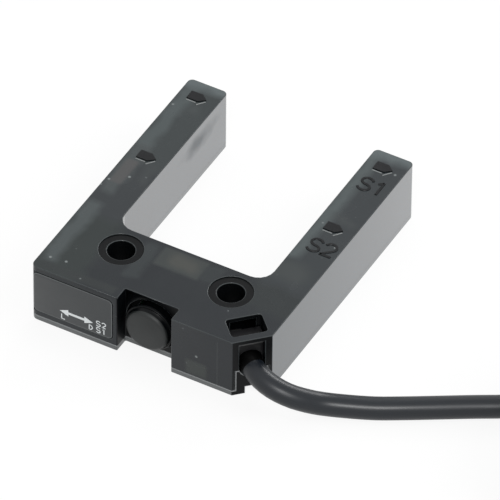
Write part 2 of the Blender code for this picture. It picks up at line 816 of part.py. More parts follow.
def make_links(workshop, material):
    """The leads from the main board to the board in each arm, laid low in the housing."""
    level = BOARD_TOP + CLEARANCE + LINK_DIAMETER / 2
    beside_board = WALL + 2 * CLEARANCE + ARM_BOARD_THICKNESS + LINK_DIAMETER / 2
    board_start = BASE_DEPTH + SLOT_FILLET
    left = [
        (beside_board + CLEARANCE, BASE_BACK - LINK_OVERLAP, level),
        (beside_board + CLEARANCE, BASE_BACK, level),
        (beside_board, board_start, level),
        (beside_board, board_start + LINK_OVERLAP, level),
    ]
    boss = Vector((HOLE_XS[1], HOLE_SETBACK, level))
    reach = (SEAT_DIAMETER + LINK_DIAMETER) / 2 + CLEARANCE
    right = []
    for degrees in (-98, -80, -60, -40, -20, 0):
        angle = math.radians(degrees)
        right.append(boss + Vector((math.cos(angle), math.sin(angle), 0)) * reach)
    right += [
        (arm_x(1, ARM_WIDTH / 2 + LINK_DIAMETER), BASE_DEPTH - WALL, level),
        (arm_x(1, beside_board), board_start, level),
        (arm_x(1, beside_board), board_start + LINK_OVERLAP, level),
    ]
    for name, route in (("emitter_link", left), ("receiver_link", right)):
        workshop.place(name, tube_mesh(name, smooth_route(route, 2), LINK_DIAMETER), material)


def arm_x(side, distance):
    """X at a distance from an arm's outer face: side -1 is the left arm, 1 the right."""
    return distance if side < 0 else BODY_WIDTH - distance


def lens_profile(direction):
    """Flat towards the board and domed towards the slot, along X from the board side."""
    radius = LENS_DIAMETER / 2
    sphere = (radius**2 + LENS_CROWN**2) / (2 * LENS_CROWN)
    crown = []
    steps = 5
    for index in range(steps + 1):
        r = radius * (1 - index / steps)
        crown.append((r, LENS_RIM + LENS_CROWN - sphere + math.sqrt(sphere**2 - r**2)))
    profile = [(0, 0), (radius, 0)] + crown
    return [(r, direction * x) for r, x in profile]


def make_arm(workshop, side, role, materials):
    """The board, lens holder, lenses and light or light-sensing packages in one arm."""
    board_material, holder_material, lens_material, package_material = materials
    direction = -side
    board_near = WALL + CLEARANCE
    board_front = BASE_DEPTH + SLOT_FILLET
    board_back = TIP_Y - WALL - CLEARANCE
    board_length = board_back - board_front
    board_bottom = BOARD_BOTTOM
    mesh = box_mesh(f"{role}_board", (ARM_BOARD_THICKNESS, board_length, ARM_BOARD_HEIGHT))
    board_place = (
        arm_x(side, board_near + ARM_BOARD_THICKNESS / 2),
        board_front + board_length / 2,
        board_bottom + ARM_BOARD_HEIGHT / 2,
    )
    workshop.place(f"{role}_board", mesh, board_material, board_place)
    holder_back = ARM_WIDTH - WALL - CLEARANCE
    holder_front = holder_back - HOLDER_THICKNESS
    holder_start = AXIS_TWO_Y - HOLDER_REACH
    holder_end = board_back
    holder_size = (HOLDER_THICKNESS, holder_end - holder_start, HOLDER_HEIGHT)
    holder_place = (
        arm_x(side, holder_front + HOLDER_THICKNESS / 2),
        (holder_start + holder_end) / 2,
        BEAM_HEIGHT,
    )
    holder_name = f"{role}_lens_holder"
    holder_mesh = box_mesh(holder_name, holder_size)
    holder = workshop.place(holder_name, holder_mesh, holder_material, holder_place)
    package_near = board_near + ARM_BOARD_THICKNESS + CLEARANCE
    for number, y in ((1, AXIS_ONE_Y), (2, AXIS_TWO_Y)):
        hole = workshop.place(
            f"{role}_lens_hole_{number}",
            cylinder_mesh("lens_hole", LENS_DIAMETER + 2 * CLEARANCE, 3 * HOLDER_THICKNESS, "X", 28),
            None,
            (arm_x(side, holder_front), y, BEAM_HEIGHT),
        )
        cut(holder, hole)
        turned(
            workshop,
            f"{role}_lens_{number}",
            lens_profile(direction),
            lens_material,
            (arm_x(side, holder_front), y, BEAM_HEIGHT),
            "X",
            24,
            side < 0,
        )
        name = f"{role}_{'led' if role == 'emitter' else 'photodiode'}_{number}"
        if role == "emitter":
            length = EMITTER_LENGTH
            mesh = cylinder_mesh(name, EMITTER_DIAMETER, length, "X", 20)
        else:
            length = RECEIVER_LENGTH
            mesh = box_mesh(name, (length, RECEIVER_SIZE, RECEIVER_SIZE))
        place = (arm_x(side, package_near + length / 2), y, BEAM_HEIGHT)
        soften_edges(workshop.place(name, mesh, package_material, place), 0.0001, 1)


def smooth_route(points, steps):
    """Points on a smooth curve through the route's own points."""
    route = [Vector(point) for point in points]
    padded = [2 * route[0] - route[1]] + route + [2 * route[-1] - route[-2]]
    result = []
    for index in range(1, len(padded) - 2):
        before, start, end, after = padded[index - 1 : index + 3]
        for step in range(steps):
            t = step / steps
            result.append(
                0.5
                * (
                    2 * start
                    + (end - before) * t
                    + (2 * before - 5 * start + 4 * end - after) * t**2
                    + (3 * start - before - 3 * end + after) * t**3
                )
            )
    result.append(route[-1])
    return result


def make_clamp(workshop, material):
    """The clamp that is pressed into the window and holds the cable's sheath."""
    length = WINDOW_LENGTH - 2 * CHANNEL_CLEARANCE
    width = WINDOW_WIDTH - 2 * CHANNEL_CLEARANCE
    height = CHANNEL_WIDTH + 2 * CLAMP_WALL
    clamp = workshop.place(
        "cable_clamp",
        box_mesh("cable_clamp", (length, width, height)),
        material,
        at_chamfer(0, WINDOW_MIDDLE, CABLE_EXIT_HEIGHT),
        CHAMFER_TURN,
    )
    bore = workshop.place(
        "clamp_bore",
        cylinder_mesh("clamp_bore", CHANNEL_WIDTH, BIG / 2, "Y", 28),
        None,
        at_chamfer(0, WINDOW_MIDDLE, CABLE_EXIT_HEIGHT),
        CHAMFER_TURN,
    )
    cut(clamp, bore)


def make_inner_wires(workshop, materials):
    """The cable's cores inside the body: one above the other past the right boss, then down."""
    boss = Vector((HOLE_XS[1], HOLE_SETBACK, 0))
    reach = SEAT_DIAMETER / 2 + CORE_DIAMETER / 2 + 2 * CLEARANCE
    landing_y = boss.y - reach - 2 * CLEARANCE
    for index, (name, material) in enumerate(materials):
        level = CABLE_EXIT_HEIGHT + (index - 1) * CORE_PITCH
        up = Vector((0, 0, level))
        landing_x = boss.x - CLEARANCE - index * CORE_PITCH
        route = [at_chamfer(0, WINDOW_SETBACK + WINDOW_WIDTH + CLEARANCE, level)]
        for degrees in (-42, -57, -72):
            angle = math.radians(degrees)
            route.append(boss + Vector((math.cos(angle), math.sin(angle), 0)) * reach + up)
        route += [
            (landing_x + CORE_DIAMETER, landing_y + CLEARANCE, level - CLEARANCE / 2),
            (landing_x + CORE_DIAMETER / 4, landing_y, level - CORE_DIAMETER / 2),
            (landing_x, landing_y, level - CORE_PITCH),
            (landing_x, landing_y, BOARD_TOP + CLEARANCE),
        ]
        workshop.place(name, tube_mesh(name, smooth_route(route, 2), CORE_DIAMETER), material)


def cable_route():
    """The cable's centreline from the clamp to the coil, from points chosen by hand."""
    inside = WINDOW_SETBACK + WINDOW_WIDTH
    exit_points = [at_chamfer(0, inside * share, CABLE_EXIT_HEIGHT) for share in (1.0, 0.5, 0.0)]
    floor = CABLE_DIAMETER / 2
    laid = [
        (0.03773, 0.00103, 0.00496),
        (0.03982, 0.00050, 0.00454),
        (0.04199, 0.00060, 0.00395),
        (0.04416, 0.00135, 0.00321),
        (0.04721, 0.00324, 0.00207),
        (0.05297, 0.00596, floor),
        (0.05730, 0.00836, floor),
        (0.06570, 0.01349, floor),
        (0.06960, 0.01580, floor),
        (0.07190, 0.01745, floor),
        (0.07400, 0.01922, floor),
    ]
    return exit_points + [Vector(point) for point in laid]


def make_cable(workshop, material, tie_material):
    """The laid stretch of the cable, the coil that holds the rest of it, and the coil's tie."""
    laid_mesh = tube_mesh("cable", smooth_route(cable_route(), 3), CABLE_DIAMETER)
    workshop.place("cable", laid_mesh, material)
    size = COIL_LAYERS * CABLE_DIAMETER
    inner = COIL_MID_DIAMETER / 2 - size / 2
    outer = COIL_MID_DIAMETER / 2 + size / 2
    bottom = TIE_THICKNESS + CLEARANCE
    easing = CABLE_DIAMETER / 3
    corners = [
        (outer - easing, size),
        (outer, size - easing),
        (outer, easing),
        (outer - easing, 0),
        (inner + easing, 0),
        (inner, easing),
        (inner, size - easing),
        (inner + easing, size),
        (outer - easing, size),
    ]
    mesh = bpy.data.meshes.new("cable_coil")
    work = bmesh.new()
    ring = [work.verts.new((radius, 0, height)) for radius, height in corners[:-1]]
    for start, end in zip(ring, ring[1:] + ring[:1]):
        work.edges.new((start, end))
    work.to_mesh(mesh)
    work.free()
    place = (*COIL_CENTRE, bottom)
    coil = workshop.place("cable_coil", mesh, material, place)
    screw = coil.modifiers.new("turn", "SCREW")
    screw.axis = "Z"
    screw.steps = 48
    screw.render_steps = 48
    screw.use_merge_vertices = True
    screw.merge_threshold = 0.00001
    screw.use_normal_calculate = True
    inside = size + 2 * CLEARANCE
    outside = inside + 2 * TIE_THICKNESS
    tie_place = (COIL_CENTRE[0], COIL_CENTRE[1] + COIL_MID_DIAMETER / 2, bottom + size / 2)
    tie_mesh = box_mesh("coil_tie", (TIE_WIDTH, outside, outside))
    tie = workshop.place("coil_tie", tie_mesh, tie_material, tie_place)
    tie_room = workshop.place(
        "tie_room", box_mesh("tie_room", (3 * TIE_WIDTH, inside, inside)), None, tie_place
    )
    cut(tie, tie_room)


def make_lead_ends(workshop, materials):
    """The bare-ended cores: one above the other beside the coil, then fanned out on the floor."""
    beside_coil = (COIL_MID_DIAMETER - COIL_LAYERS * CABLE_DIAMETER - CORE_DIAMETER) / 2 - CLEARANCE
    for index, (name, material) in enumerate(materials):
        points = []
        for step in range(LEAD_STEPS + 1):
            angle = math.radians(LEAD_START + LEAD_SWEEP * step / LEAD_STEPS)
            settled = min(step / LEAD_FAN_STEPS, 1.0)
            fan = math.radians(90) * settled
            radius = beside_coil - index * CORE_PITCH * math.sin(fan)
            drop = LEAD_DROP * (1 + math.cos(math.pi * settled)) / 2
            height = CORE_DIAMETER / 2 + drop + index * CORE_PITCH * math.cos(fan)
            x = COIL_CENTRE[0] + radius * math.cos(angle)
            y = COIL_CENTRE[1] + radius * math.sin(angle)
            points.append((x, y, height))
        workshop.place(name, tube_mesh(name, points, CORE_DIAMETER), material)


def build():
    clear_scene()
    workshop = Workshop()
    smoke = make_material("smoke_plastic", (0.055, 0.058, 0.060), 0.35)
    cover = make_material("cover_plastic", (0.070, 0.074, 0.075), 0.40)
    label = make_material("label_film", (0.085, 0.090, 0.090), 0.45)
    rubber = make_material("cap_rubber", (0.045, 0.047, 0.047), 0.60)
    sheath = make_material("cable_sheath", (0.030, 0.033, 0.033), 0.40)
    board = make_material("board_laminate", (0.020, 0.120, 0.050), 0.45)
    lens = make_material("lens_acrylic", (0.100, 0.020, 0.020), 0.10)
    holder = make_material("holder_plastic", (0.015, 0.015, 0.015), 0.60)
    clear = make_material("clear_acrylic", (0.700, 0.700, 0.660), 0.15)
    nylon = make_material("switch_nylon", (0.020, 0.020, 0.022), 0.50)
    slider = make_material("slider_nylon", (0.750, 0.750, 0.720), 0.50)
    package = make_material("package_epoxy", (0.250, 0.260, 0.300), 0.20)
    tie = make_material("tie_nylon", (0.020, 0.020, 0.020), 0.50)
    brown = make_material("core_brown", (0.160, 0.060, 0.025), 0.45)
    blue = make_material("core_blue", (0.030, 0.110, 0.400), 0.45)
    black = make_material("core_black", (0.015, 0.015, 0.015), 0.45)
    smd = {
        "chip": make_material("chip_epoxy", (0.018, 0.018, 0.020), 0.40),
        "tin": make_material("tin", (0.600, 0.600, 0.580), 0.35, 1.0),
        "amber": make_material("led_amber", (0.800, 0.350, 0.050), 0.30),
        "tantalum": make_material("tantalum", (0.550, 0.330, 0.080), 0.45),
    }
    make_housing(workshop, smoke)
    make_cover(workshop, cover)
    make_label(workshop, label)
    make_cap(workshop, rubber)
    make_switches(workshop, nylon, slider)
    make_main_board(workshop, board)
    make_board_parts(workshop, smd)
    make_light_guide(workshop, clear)
    make_arm(workshop, -1, "emitter", (board, holder, lens, package))
    make_arm(workshop, 1, "receiver", (board, holder, lens, package))
    make_links(workshop, black)
    make_clamp(workshop, nylon)
    make_inner_wires(
        workshop,
        (("inner_wire_brown", brown), ("inner_wire_blue", blue), ("inner_wire_black", black)),
    )
    make_cable(workshop, sheath, tie)
    make_lead_ends(
        workshop,
        (("lead_end_brown", brown), ("lead_end_blue", blue), ("lead_end_black", black)),
    )


build()
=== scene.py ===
"""Looks of the fork sensor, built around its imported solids.

Shapes are worked out in millimetres from the front left corner of the body, with X along the base,
Y towards the arm tips and Z up, and are turned to the frame's metres when a mesh is made.
"""

import logging
import math
from dataclasses import dataclass
from enum import Enum

import bmesh
import bpy
import numpy as np
from mathutils import Matrix, Vector


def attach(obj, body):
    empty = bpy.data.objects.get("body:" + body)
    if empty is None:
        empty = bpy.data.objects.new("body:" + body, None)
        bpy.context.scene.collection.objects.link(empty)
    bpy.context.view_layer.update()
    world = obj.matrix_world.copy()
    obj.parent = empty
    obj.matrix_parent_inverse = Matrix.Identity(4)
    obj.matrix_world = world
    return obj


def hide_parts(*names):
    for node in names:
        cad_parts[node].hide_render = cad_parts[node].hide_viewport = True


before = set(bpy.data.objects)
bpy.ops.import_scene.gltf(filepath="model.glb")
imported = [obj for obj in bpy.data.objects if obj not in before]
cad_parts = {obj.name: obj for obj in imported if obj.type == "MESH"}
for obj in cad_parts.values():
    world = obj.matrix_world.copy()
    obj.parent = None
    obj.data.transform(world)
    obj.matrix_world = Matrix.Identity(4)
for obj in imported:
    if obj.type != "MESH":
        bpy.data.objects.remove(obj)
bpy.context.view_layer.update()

LOG = logging.getLogger("fork_sensor")

MM = 0.001
BODY_WIDTH = 38.0
BODY_LENGTH = 47.2
BODY_HEIGHT = 10.5
CORNER = np.array((-BODY_WIDTH / 2, -BODY_LENGTH / 2, 0.0))
UP = np.array((0.0, 0.0, 1.0))
CREASE = math.radians(40)
FULL_TURN = 360.0

Pair = tuple[float, float]
Triple = tuple[float, float, float]
Material = bpy.types.Material
Piece = bpy.types.Object
Socket = bpy.types.NodeSocket


def to_frame(points: np.ndarray) -> np.ndarray:
    """Turn points from millimetres at the body's corner to the frame's metres.

    Args:
        points: Array (n, 3) in millimetres.

    Returns:
        Array (n, 3): the points plus the corner's place, times one millimetre.
    """
    return (np.asarray(points, float) + CORNER) * MM


def smoothstep(share: np.ndarray) -> np.ndarray:
    """Ease from 0 to 1: three shares squared less two shares cubed, held outside that range."""
    held = np.clip(share, 0.0, 1.0)
    return held * held * (3.0 - 2.0 * held)


def unit(vectors: np.ndarray) -> np.ndarray:
    """Each vector divided by its own length."""
    return vectors / np.linalg.norm(vectors, axis=-1, keepdims=True)


def arc(centre: Pair, radii: Pair, start: float, end: float, count: int) -> np.ndarray:
    """Points on an ellipse's arc: the centre plus each radius times the cosine and sine of the angle.

    Args:
        centre: Centre of the ellipse.
        radii: Half widths along the two axes.
        start: First angle in degrees.
        end: Last angle in degrees.
        count: Number of points.

    Returns:
        Array (count, 2).
    """
    angle = np.radians(np.linspace(start, end, count))
    return np.stack([centre[0] + radii[0] * np.cos(angle), centre[1] + radii[1] * np.sin(angle)], axis=1)


def rounded_rectangle(width: float, height: float, radius: float, count: int = 8) -> np.ndarray:
    """Outline of a rectangle about the origin, with a quarter circle at each corner.

    Args:
        width: Full width.
        height: Full height.
        radius: Corner radius.
        count: Points in each corner.

    Returns:
        Array (4 * count, 2), counter-clockwise.
    """
    x, y = width / 2 - radius, height / 2 - radius
    middles = ((x, y), (-x, y), (-x, -y), (x, -y))
    quarters = [
        arc(middle, (radius, radius), 90 * index, 90 * index + 90, count)
        for index, middle in enumerate(middles)
    ]
    return np.concatenate(quarters)


def through(points: np.ndarray, steps: int) -> np.ndarray:
    """Smooth curve through points, each span a Catmull-Rom cubic of its four neighbours.

    Args:
        points: Array (n, 3) that the curve passes through.
        steps: Points on each span.

    Returns:
        Array ((n - 1) * steps + 1, 3).
    """
    ends = np.concatenate([[2 * points[0] - points[1]], points, [2 * points[-1] - points[-2]]])
    before, start, end, after = (ends[k : len(ends) - 3 + k, None, :] for k in range(4))
    t = (np.arange(steps) / steps)[None, :, None]
    spans = 0.5 * (
        2 * start
        + (end - before) * t
        + (2 * before - 5 * start + 4 * end - after) * t**2
        + (3 * start - before - 3 * end + after) * t**3
    )
    return np.concatenate([spans.reshape(-1, 3), points[-1:]])


def evenly(line: np.ndarray, step: float, length: float | None = None) -> np.ndarray:
    """The line again with its points evenly spaced, cut at a length from its start.

    Args:
        line: Array (n, 3) of points along the line.
        step: Distance between the new points.
        length: Length to keep, or all of it when left out.

    Returns:
        Array (m, 3), each point interpolated at its distance along the line.
    """
    along = np.concatenate([[0.0], np.cumsum(np.linalg.norm(np.diff(line, axis=0), axis=1))])
    end = along[-1] if length is None else min(length, along[-1])
    places = np.linspace(0.0, end, max(2, round(end / step) + 1))
    return np.stack([np.interp(places, along, line[:, axis]) for axis in range(3)], axis=1)


def grid_faces(rows: int, columns: int, wrap: bool) -> tuple[np.ndarray, np.ndarray]:
    """Quads between neighbouring points of a grid that is stored row by row.

    Args:
        rows: Number of rows of points.
        columns: Number of points in a row.
        wrap: Whether each row closes on itself.

    Returns:
        Array (n, 4) of point numbers, and array (n, 4, 2) of each corner's row and column.
    """
    spans = columns if wrap else columns - 1
    row, column = np.indices((rows - 1, spans)).reshape(2, -1)
    around = ((0, 0), (0, 1), (1, 1), (1, 0))
    places = np.stack([np.stack([row + down, column + side], axis=1) for down, side in around], axis=1)
    return places[..., 0] * columns + places[..., 1] % columns, places


def linked(name: str, data: bpy.types.ID) -> Piece:
    """Make an object and put it in the scene.

    Args:
        name: Name of the object.
        data: Its mesh, camera or lamp.

    Returns:
        The new object.
    """
    thing = bpy.data.objects.new(name, data)
    bpy.context.scene.collection.objects.link(thing)
    return thing


def placed(name: str, mesh: bpy.types.Mesh, material: Material) -> Piece:
    """Turn a mesh's faces outwards, shade it smooth up to its creases and put it in the scene.

    Args:
        name: Name of the piece.
        mesh: Its mesh.
        material: Finish of the piece.

    Returns:
        The new object.
    """
    work = bmesh.new()
    work.from_mesh(mesh)
    bmesh.ops.recalc_face_normals(work, faces=work.faces[:])
    work.to_mesh(mesh)
    work.free()
    mesh.shade_smooth()
    mesh.set_sharp_from_angle(angle=CREASE)
    mesh.materials.append(material)
    return linked(name, mesh)


def make_object(name: str, points: np.ndarray, faces: list, material: Material) -> Piece:
    """Make a smooth-shaded object whose place is in its mesh.

    Args:
        name: Name of the piece.
        points: Array (n, 3) in millimetres from the body's corner.
        faces: Lists of point numbers.
        material: Finish of the piece.

    Returns:
        The new object, with its faces pointing outwards.
    """
    mesh = bpy.data.meshes.new(name)
    mesh.from_pydata(to_frame(points).tolist(), [], faces)
    return placed(name, mesh, material)


def lofted(
    name: str, rings: np.ndarray, material: Material, metres_per_row: float | None = None
) -> Piece:
    """Closed surface through a stack of closed rings, with a flat face on its first and last ring.

    Args:
        name: Name of the piece.
        rings: Array (rows, columns, 3) in millimetres.
        material: Finish of the piece.
        metres_per_row: When given, a UV map runs once round each ring and in metres along the rows.

    Returns:
        The new object.
    """
    rows, columns = rings.shape[:2]
    quads, places = grid_faces(rows, columns, True)
    caps = [list(range(columns)), list(range((rows - 1) * columns, rows * columns))]
    mesh = bpy.data.meshes.new(name)
    mesh.from_pydata(to_frame(rings.reshape(-1, 3)).tolist(), [], quads.tolist() + caps)
    if metres_per_row is not None:
        spots = np.stack([places[..., 1] / columns, places[..., 0] * metres_per_row], axis=2)
        ends = np.full((2 * columns, 2), 0.5)
        corners = np.concatenate([spots.reshape(-1, 2), ends]).astype(np.float32)
        layer = mesh.uv_layers.new(name="along")
        layer.uv.foreach_set("vector", corners.ravel())
    return placed(name, mesh, material)


def swept(line: np.ndarray, profile: np.ndarray) -> np.ndarray:
    """Rings of a profile carried along a line: the line's point plus the profile across and above it.

    Args:
        line: Array (n, 3) of points along the line.
        profile: Array (m, 2), each point's distance to the side and up.

    Returns:
        Array (n, m, 3).
    """
    ahead = unit(np.gradient(line, axis=0))
    side = unit(np.cross(ahead, UP))
    above = np.cross(side, ahead)
    across = profile[None, :, 0:1] * side[:, None, :] + profile[None, :, 1:2] * above[:, None, :]
    return line[:, None, :] + across


def circle(count: int) -> np.ndarray:
    """Points of a circle of radius one, with no repeated end."""
    return arc((0.0, 0.0), (1.0, 1.0), 0.0, 360.0 * (1 - 1 / count), count)


class Plane(Enum):
    """Faces of the body that flat marks stand on: the direction across, along and out of the face."""

    TOP = ((1, 0, 0), (0, 1, 0), (0, 0, 1))
    FRONT = ((1, 0, 0), (0, 0, 1), (0, -1, 0))

    def place(self, flat: np.ndarray, out: np.ndarray | float, level: float) -> np.ndarray:
        """Carry flat points onto the face.

        Args:
            flat: Array (..., 2), across and along the face.
            out: Distance out of the face's level, for all points or each.
            level: Distance of the face from the corner along its outward direction.

        Returns:
            Array (..., 3): across, along and out times their directions, added up.
        """
        across, along, outward = (np.array(axis, float) for axis in self.value)
        outs = np.broadcast_to(np.asarray(out, float), flat.shape[:-1])[..., None] + level
        return flat[..., 0:1] * across + flat[..., 1:2] * along + outs * outward


class Nodes:
    """Adds and joins the shader nodes of one material."""

    def __init__(self, name: str, material: Material | None = None) -> None:
        """Start a material that holds a Principled shader, or go on with one.

        Args:
            name: Name of a new material.
            material: Material to go on with, or none to make one.
        """
        self.material = material or bpy.data.materials.new(name)
        self.material.use_nodes = True
        self.tree = self.material.node_tree
        self.shader = self.tree.nodes["Principled BSDF"]

    def add(self, kind: str, **settings: object) -> bpy.types.Node:
        """Add a node and set its own properties.

        Args:
            kind: Type of the node, without its ShaderNode prefix.
            settings: Properties to set.

        Returns:
            The new node.
        """
        node = self.tree.nodes.new(f"ShaderNode{kind}")
        for key, value in settings.items():
            setattr(node, key, value)
        return node

    def feed(self, socket: Socket, value: object) -> None:
        """Join another node's output to a socket, or set the socket's own value.

        Args:
            socket: Socket that is fed.
            value: Another node's socket, or a number or colour.
        """
        if isinstance(value, Socket):
            self.tree.links.new(value, socket)
        else:
            socket.default_value = value

    def places(self) -> Socket:
        """The piece's own Object coordinates."""
        return self.add("TexCoord").outputs["Object"]

    def millimetres(self, places: Socket) -> list[Socket]:
        """Object coordinates carried to millimetres from the body's corner.

        Args:
            places: The piece's Object coordinates.

        Returns:
            One socket for each axis.
        """
        turned = self.add("Mapping")
        self.feed(turned.inputs["Vector"], places)
        turned.inputs["Scale"].default_value = (1 / MM, 1 / MM, 1 / MM)
        turned.inputs["Location"].default_value = tuple(-CORNER)
        split = self.add("SeparateXYZ")
        self.feed(split.inputs["Vector"], turned.outputs["Vector"])
        return list(split.outputs)

    def window(self, value: Socket, low: float, high: float, soft: float) -> Socket:
        """One between low and high and nothing outside them, with a ramp at each.

        Args:
            value: Value that is tested.
            low: Middle of the ramp up.
            high: Middle of the ramp down.
            soft: Half a ramp's width.

        Returns:
            The product of both ramps.
        """
        rising = self.spread(value, low - soft, low + soft)
        falling = self.spread(value, high - soft, high + soft, 1.0, 0.0)
        return self.math("MULTIPLY", rising, falling)

    def unwrapped(self) -> Socket:
        """The piece's UV map that runs along it."""
        return self.add("UVMap", uv_map="along").outputs["UV"]

    def math(self, operation: str, first: object, second: object) -> Socket:
        """One sum of two values or sockets.

        Args:
            operation: Name of the Math node's operation.
            first: First value.
            second: Second value.

        Returns:
            The result's socket.
        """
        node = self.add("Math", operation=operation)
        self.feed(node.inputs[0], first)
        self.feed(node.inputs[1], second)
        return node.outputs[0]

    def noise(self, places: Socket, per_metre: float, detail: float, rough: float = 0.5) -> Socket:
        """Fractal noise from 0 to 1.

        Args:
            places: Coordinates that it reads.
            per_metre: Blotches in a metre.
            detail: Number of finer layers.
            rough: Strength of the finer layers.

        Returns:
            The noise's value.
        """
        node = self.add("TexNoise")
        self.feed(node.inputs["Vector"], places)
        node.inputs["Scale"].default_value = per_metre
        node.inputs["Detail"].default_value = detail
        node.inputs["Roughness"].default_value = rough
        return node.outputs["Fac"]

    def stretched(self, places: Socket, scale: Triple) -> Socket:
        """Coordinates multiplied by a scale on each axis.

        Args:
            places: Coordinates.
            scale: Factor of each axis.

        Returns:
            The stretched coordinates.
        """
        node = self.add("Mapping")
        self.feed(node.inputs["Vector"], places)
        node.inputs["Scale"].default_value = scale
        return node.outputs["Vector"]

    def spread(
        self, value: Socket, low: float, high: float, start: float = 0.0, end: float = 1.0
    ) -> Socket:
        """Carry a value's range onto another and hold it there.

        Args:
            value: Value that is carried over.
            low: Value that becomes start.
            high: Value that becomes end.
            start: First end of the new range.
            end: Other end of the new range.

        Returns:
            The new value.
        """
        node = self.add("MapRange")
        node.clamp = True
        self.feed(node.inputs["Value"], value)
        for key, number in zip(("From Min", "From Max", "To Min", "To Max"), (low, high, start, end)):
            node.inputs[key].default_value = number
        return node.outputs["Result"]

    def blend(self, share: object, first: object, second: object) -> Socket:
        """Mix two colours by a share.

        Args:
            share: 0 for the first colour and 1 for the second.
            first: Colour or socket.
            second: Colour or socket.

        Returns:
            The mixed colour.
        """
        node = self.add("Mix", data_type="RGBA")
        self.feed(node.inputs["Factor"], share)
        for index, colour in ((6, first), (7, second)):
            self.feed(node.inputs[index], (*colour, 1.0) if isinstance(colour, tuple) else colour)
        return node.outputs[2]

    def bumped(self, height: Socket, depth: float) -> Socket:
        """Normal that is tilted by a height map.

        Args:
            height: Height from 0 to 1.
            depth: The heights' full range in metres.

        Returns:
            The tilted normal.
        """
        node = self.add("Bump")
        node.inputs["Strength"].default_value = 1.0
        node.inputs["Distance"].default_value = depth
        self.feed(node.inputs["Height"], height)
        return node.outputs["Normal"]


@dataclass(frozen=True)
class Moulding:
    """Finish of a moulded plastic: cloudy colour, fine grain and pale specks of dust."""

    name: str
    colour: Triple
    cloud: Triple
    roughness: float
    coat: float = 0.0
    clouds_per_metre: float = 90.0
    grain_per_metre: float = 9000.0
    grain_depth: float = 0.000004
    dust: float = 0.0
    dust_per_metre: float = 400.0
    dust_colour: Triple = (0.20, 0.22, 0.22)
    gloss: float = 0.5
    index: float = 1.55
    coat_roughness: float = 0.12

    def with_painted_patches(self, nodes: Nodes, places: Socket, colour: Socket) -> Socket:
        """The colour as it is: a plain moulding has no patches of painted light and shade."""
        return colour

    def material(self) -> Material:
        """Make the material: two noises mix the colours, a third tilts the surface.

        Returns:
            The material.
        """
        nodes = Nodes(self.name)
        places = nodes.places()
        clouds = nodes.spread(nodes.noise(places, self.clouds_per_metre, 4.0, 0.6), 0.35, 0.68)
        colour = self.with_painted_patches(nodes, places, nodes.blend(clouds, self.colour, self.cloud))
        if self.dust:
            colour = self.dusty(nodes, places, colour)
        nodes.feed(nodes.shader.inputs["Base Color"], colour)
        fine = nodes.noise(places, self.grain_per_metre, 2.0)
        smears = nodes.noise(places, self.clouds_per_metre * 2.5, 3.0)
        rough = nodes.spread(smears, 0.3, 0.7, self.roughness * 0.85, self.roughness * 1.2)
        nodes.feed(nodes.shader.inputs["Roughness"], rough)
        nodes.feed(nodes.shader.inputs["Normal"], nodes.bumped(fine, self.grain_depth))
        nodes.shader.inputs["IOR"].default_value = self.index
        nodes.shader.inputs["Specular IOR Level"].default_value = self.gloss
        nodes.shader.inputs["Coat Weight"].default_value = self.coat
        nodes.shader.inputs["Coat Roughness"].default_value = self.coat_roughness
        return nodes.material

    def dusty(self, nodes: Nodes, places: Socket, colour: Socket) -> Socket:
        """Add pale specks: small cells of a Voronoi pattern, kept where a wide noise is high.

        Args:
            nodes: The material's nodes.
            places: Coordinates that the specks read.
            colour: Colour under the specks.

        Returns:
            The colour with specks.
        """
        cells = nodes.add("TexVoronoi")
        nodes.feed(cells.inputs["Vector"], places)
        cells.inputs["Scale"].default_value = self.dust_per_metre
        near = nodes.spread(cells.outputs["Distance"], 0.05, 0.11, 1.0, 0.0)
        kept = nodes.spread(nodes.noise(places, 230.0, 1.0), 0.50, 0.56)
        share = nodes.math("MULTIPLY", nodes.math("MULTIPLY", near, kept), self.dust)
        return nodes.blend(share, colour, self.dust_colour)


@dataclass(frozen=True)
class PaintedPatch:
    """A patch of painted light and shade on the top or the front of the body, in millimetres from its
    corner.
    """

    plane: Plane
    across: Pair
    along: Pair
    soft: float
    colour: Triple
    share: float = 1.0


@dataclass(frozen=True)
class SmokyMoulding(Moulding):
    """Finish of the smoke-grey housing, with paler and darker patches of painted light and shade on its top
    and front.
    """

    painted_patches: tuple[PaintedPatch, ...] = ()
    ragged: float = 0.6
    straight_below: float = 0.3
    top_level: float = 10.2
    front_level: float = 0.2
    level_soft: float = 0.1

    def with_painted_patches(self, nodes: Nodes, places: Socket, colour: Socket) -> Socket:
        """Lay the patches of painted light and shade over the colour.

        Each patch is a soft window in both directions of its face, read at a place that a noise
        moves a little, times a window that keeps it to that face.

        Args:
            nodes: The material's nodes.
            places: The piece's coordinates.
            colour: Colour under the patches.

        Returns:
            The colour with its patches of painted light and shade.
        """
        straight = dict(zip("xyz", nodes.millimetres(places)))
        drift = nodes.spread(nodes.noise(places, 300.0, 2.0, 0.5), 0.2, 0.8, -self.ragged, self.ragged)
        drifted = {axis: nodes.math("ADD", value, drift) for axis, value in straight.items()}
        level, soft = self.top_level, self.level_soft
        top = nodes.spread(straight["z"], level - soft, level + soft)
        level = self.front_level
        front = nodes.spread(straight["y"], level - soft, level + soft, 1.0, 0.0)
        # Each patch paints its paler colour in as light, or its darker colour in as shade.
        for zone in self.painted_patches:
            along, face = ("y", top) if zone.plane is Plane.TOP else ("z", front)
            source = drifted if zone.soft > self.straight_below else straight
            share = nodes.math(
                "MULTIPLY",
                nodes.window(source["x"], *zone.across, zone.soft),
                nodes.window(source[along], *zone.along, zone.soft),
            )
            share = nodes.math("MULTIPLY", share, nodes.math("MULTIPLY", face, zone.share))
            colour = nodes.blend(share, colour, zone.colour)
        return colour


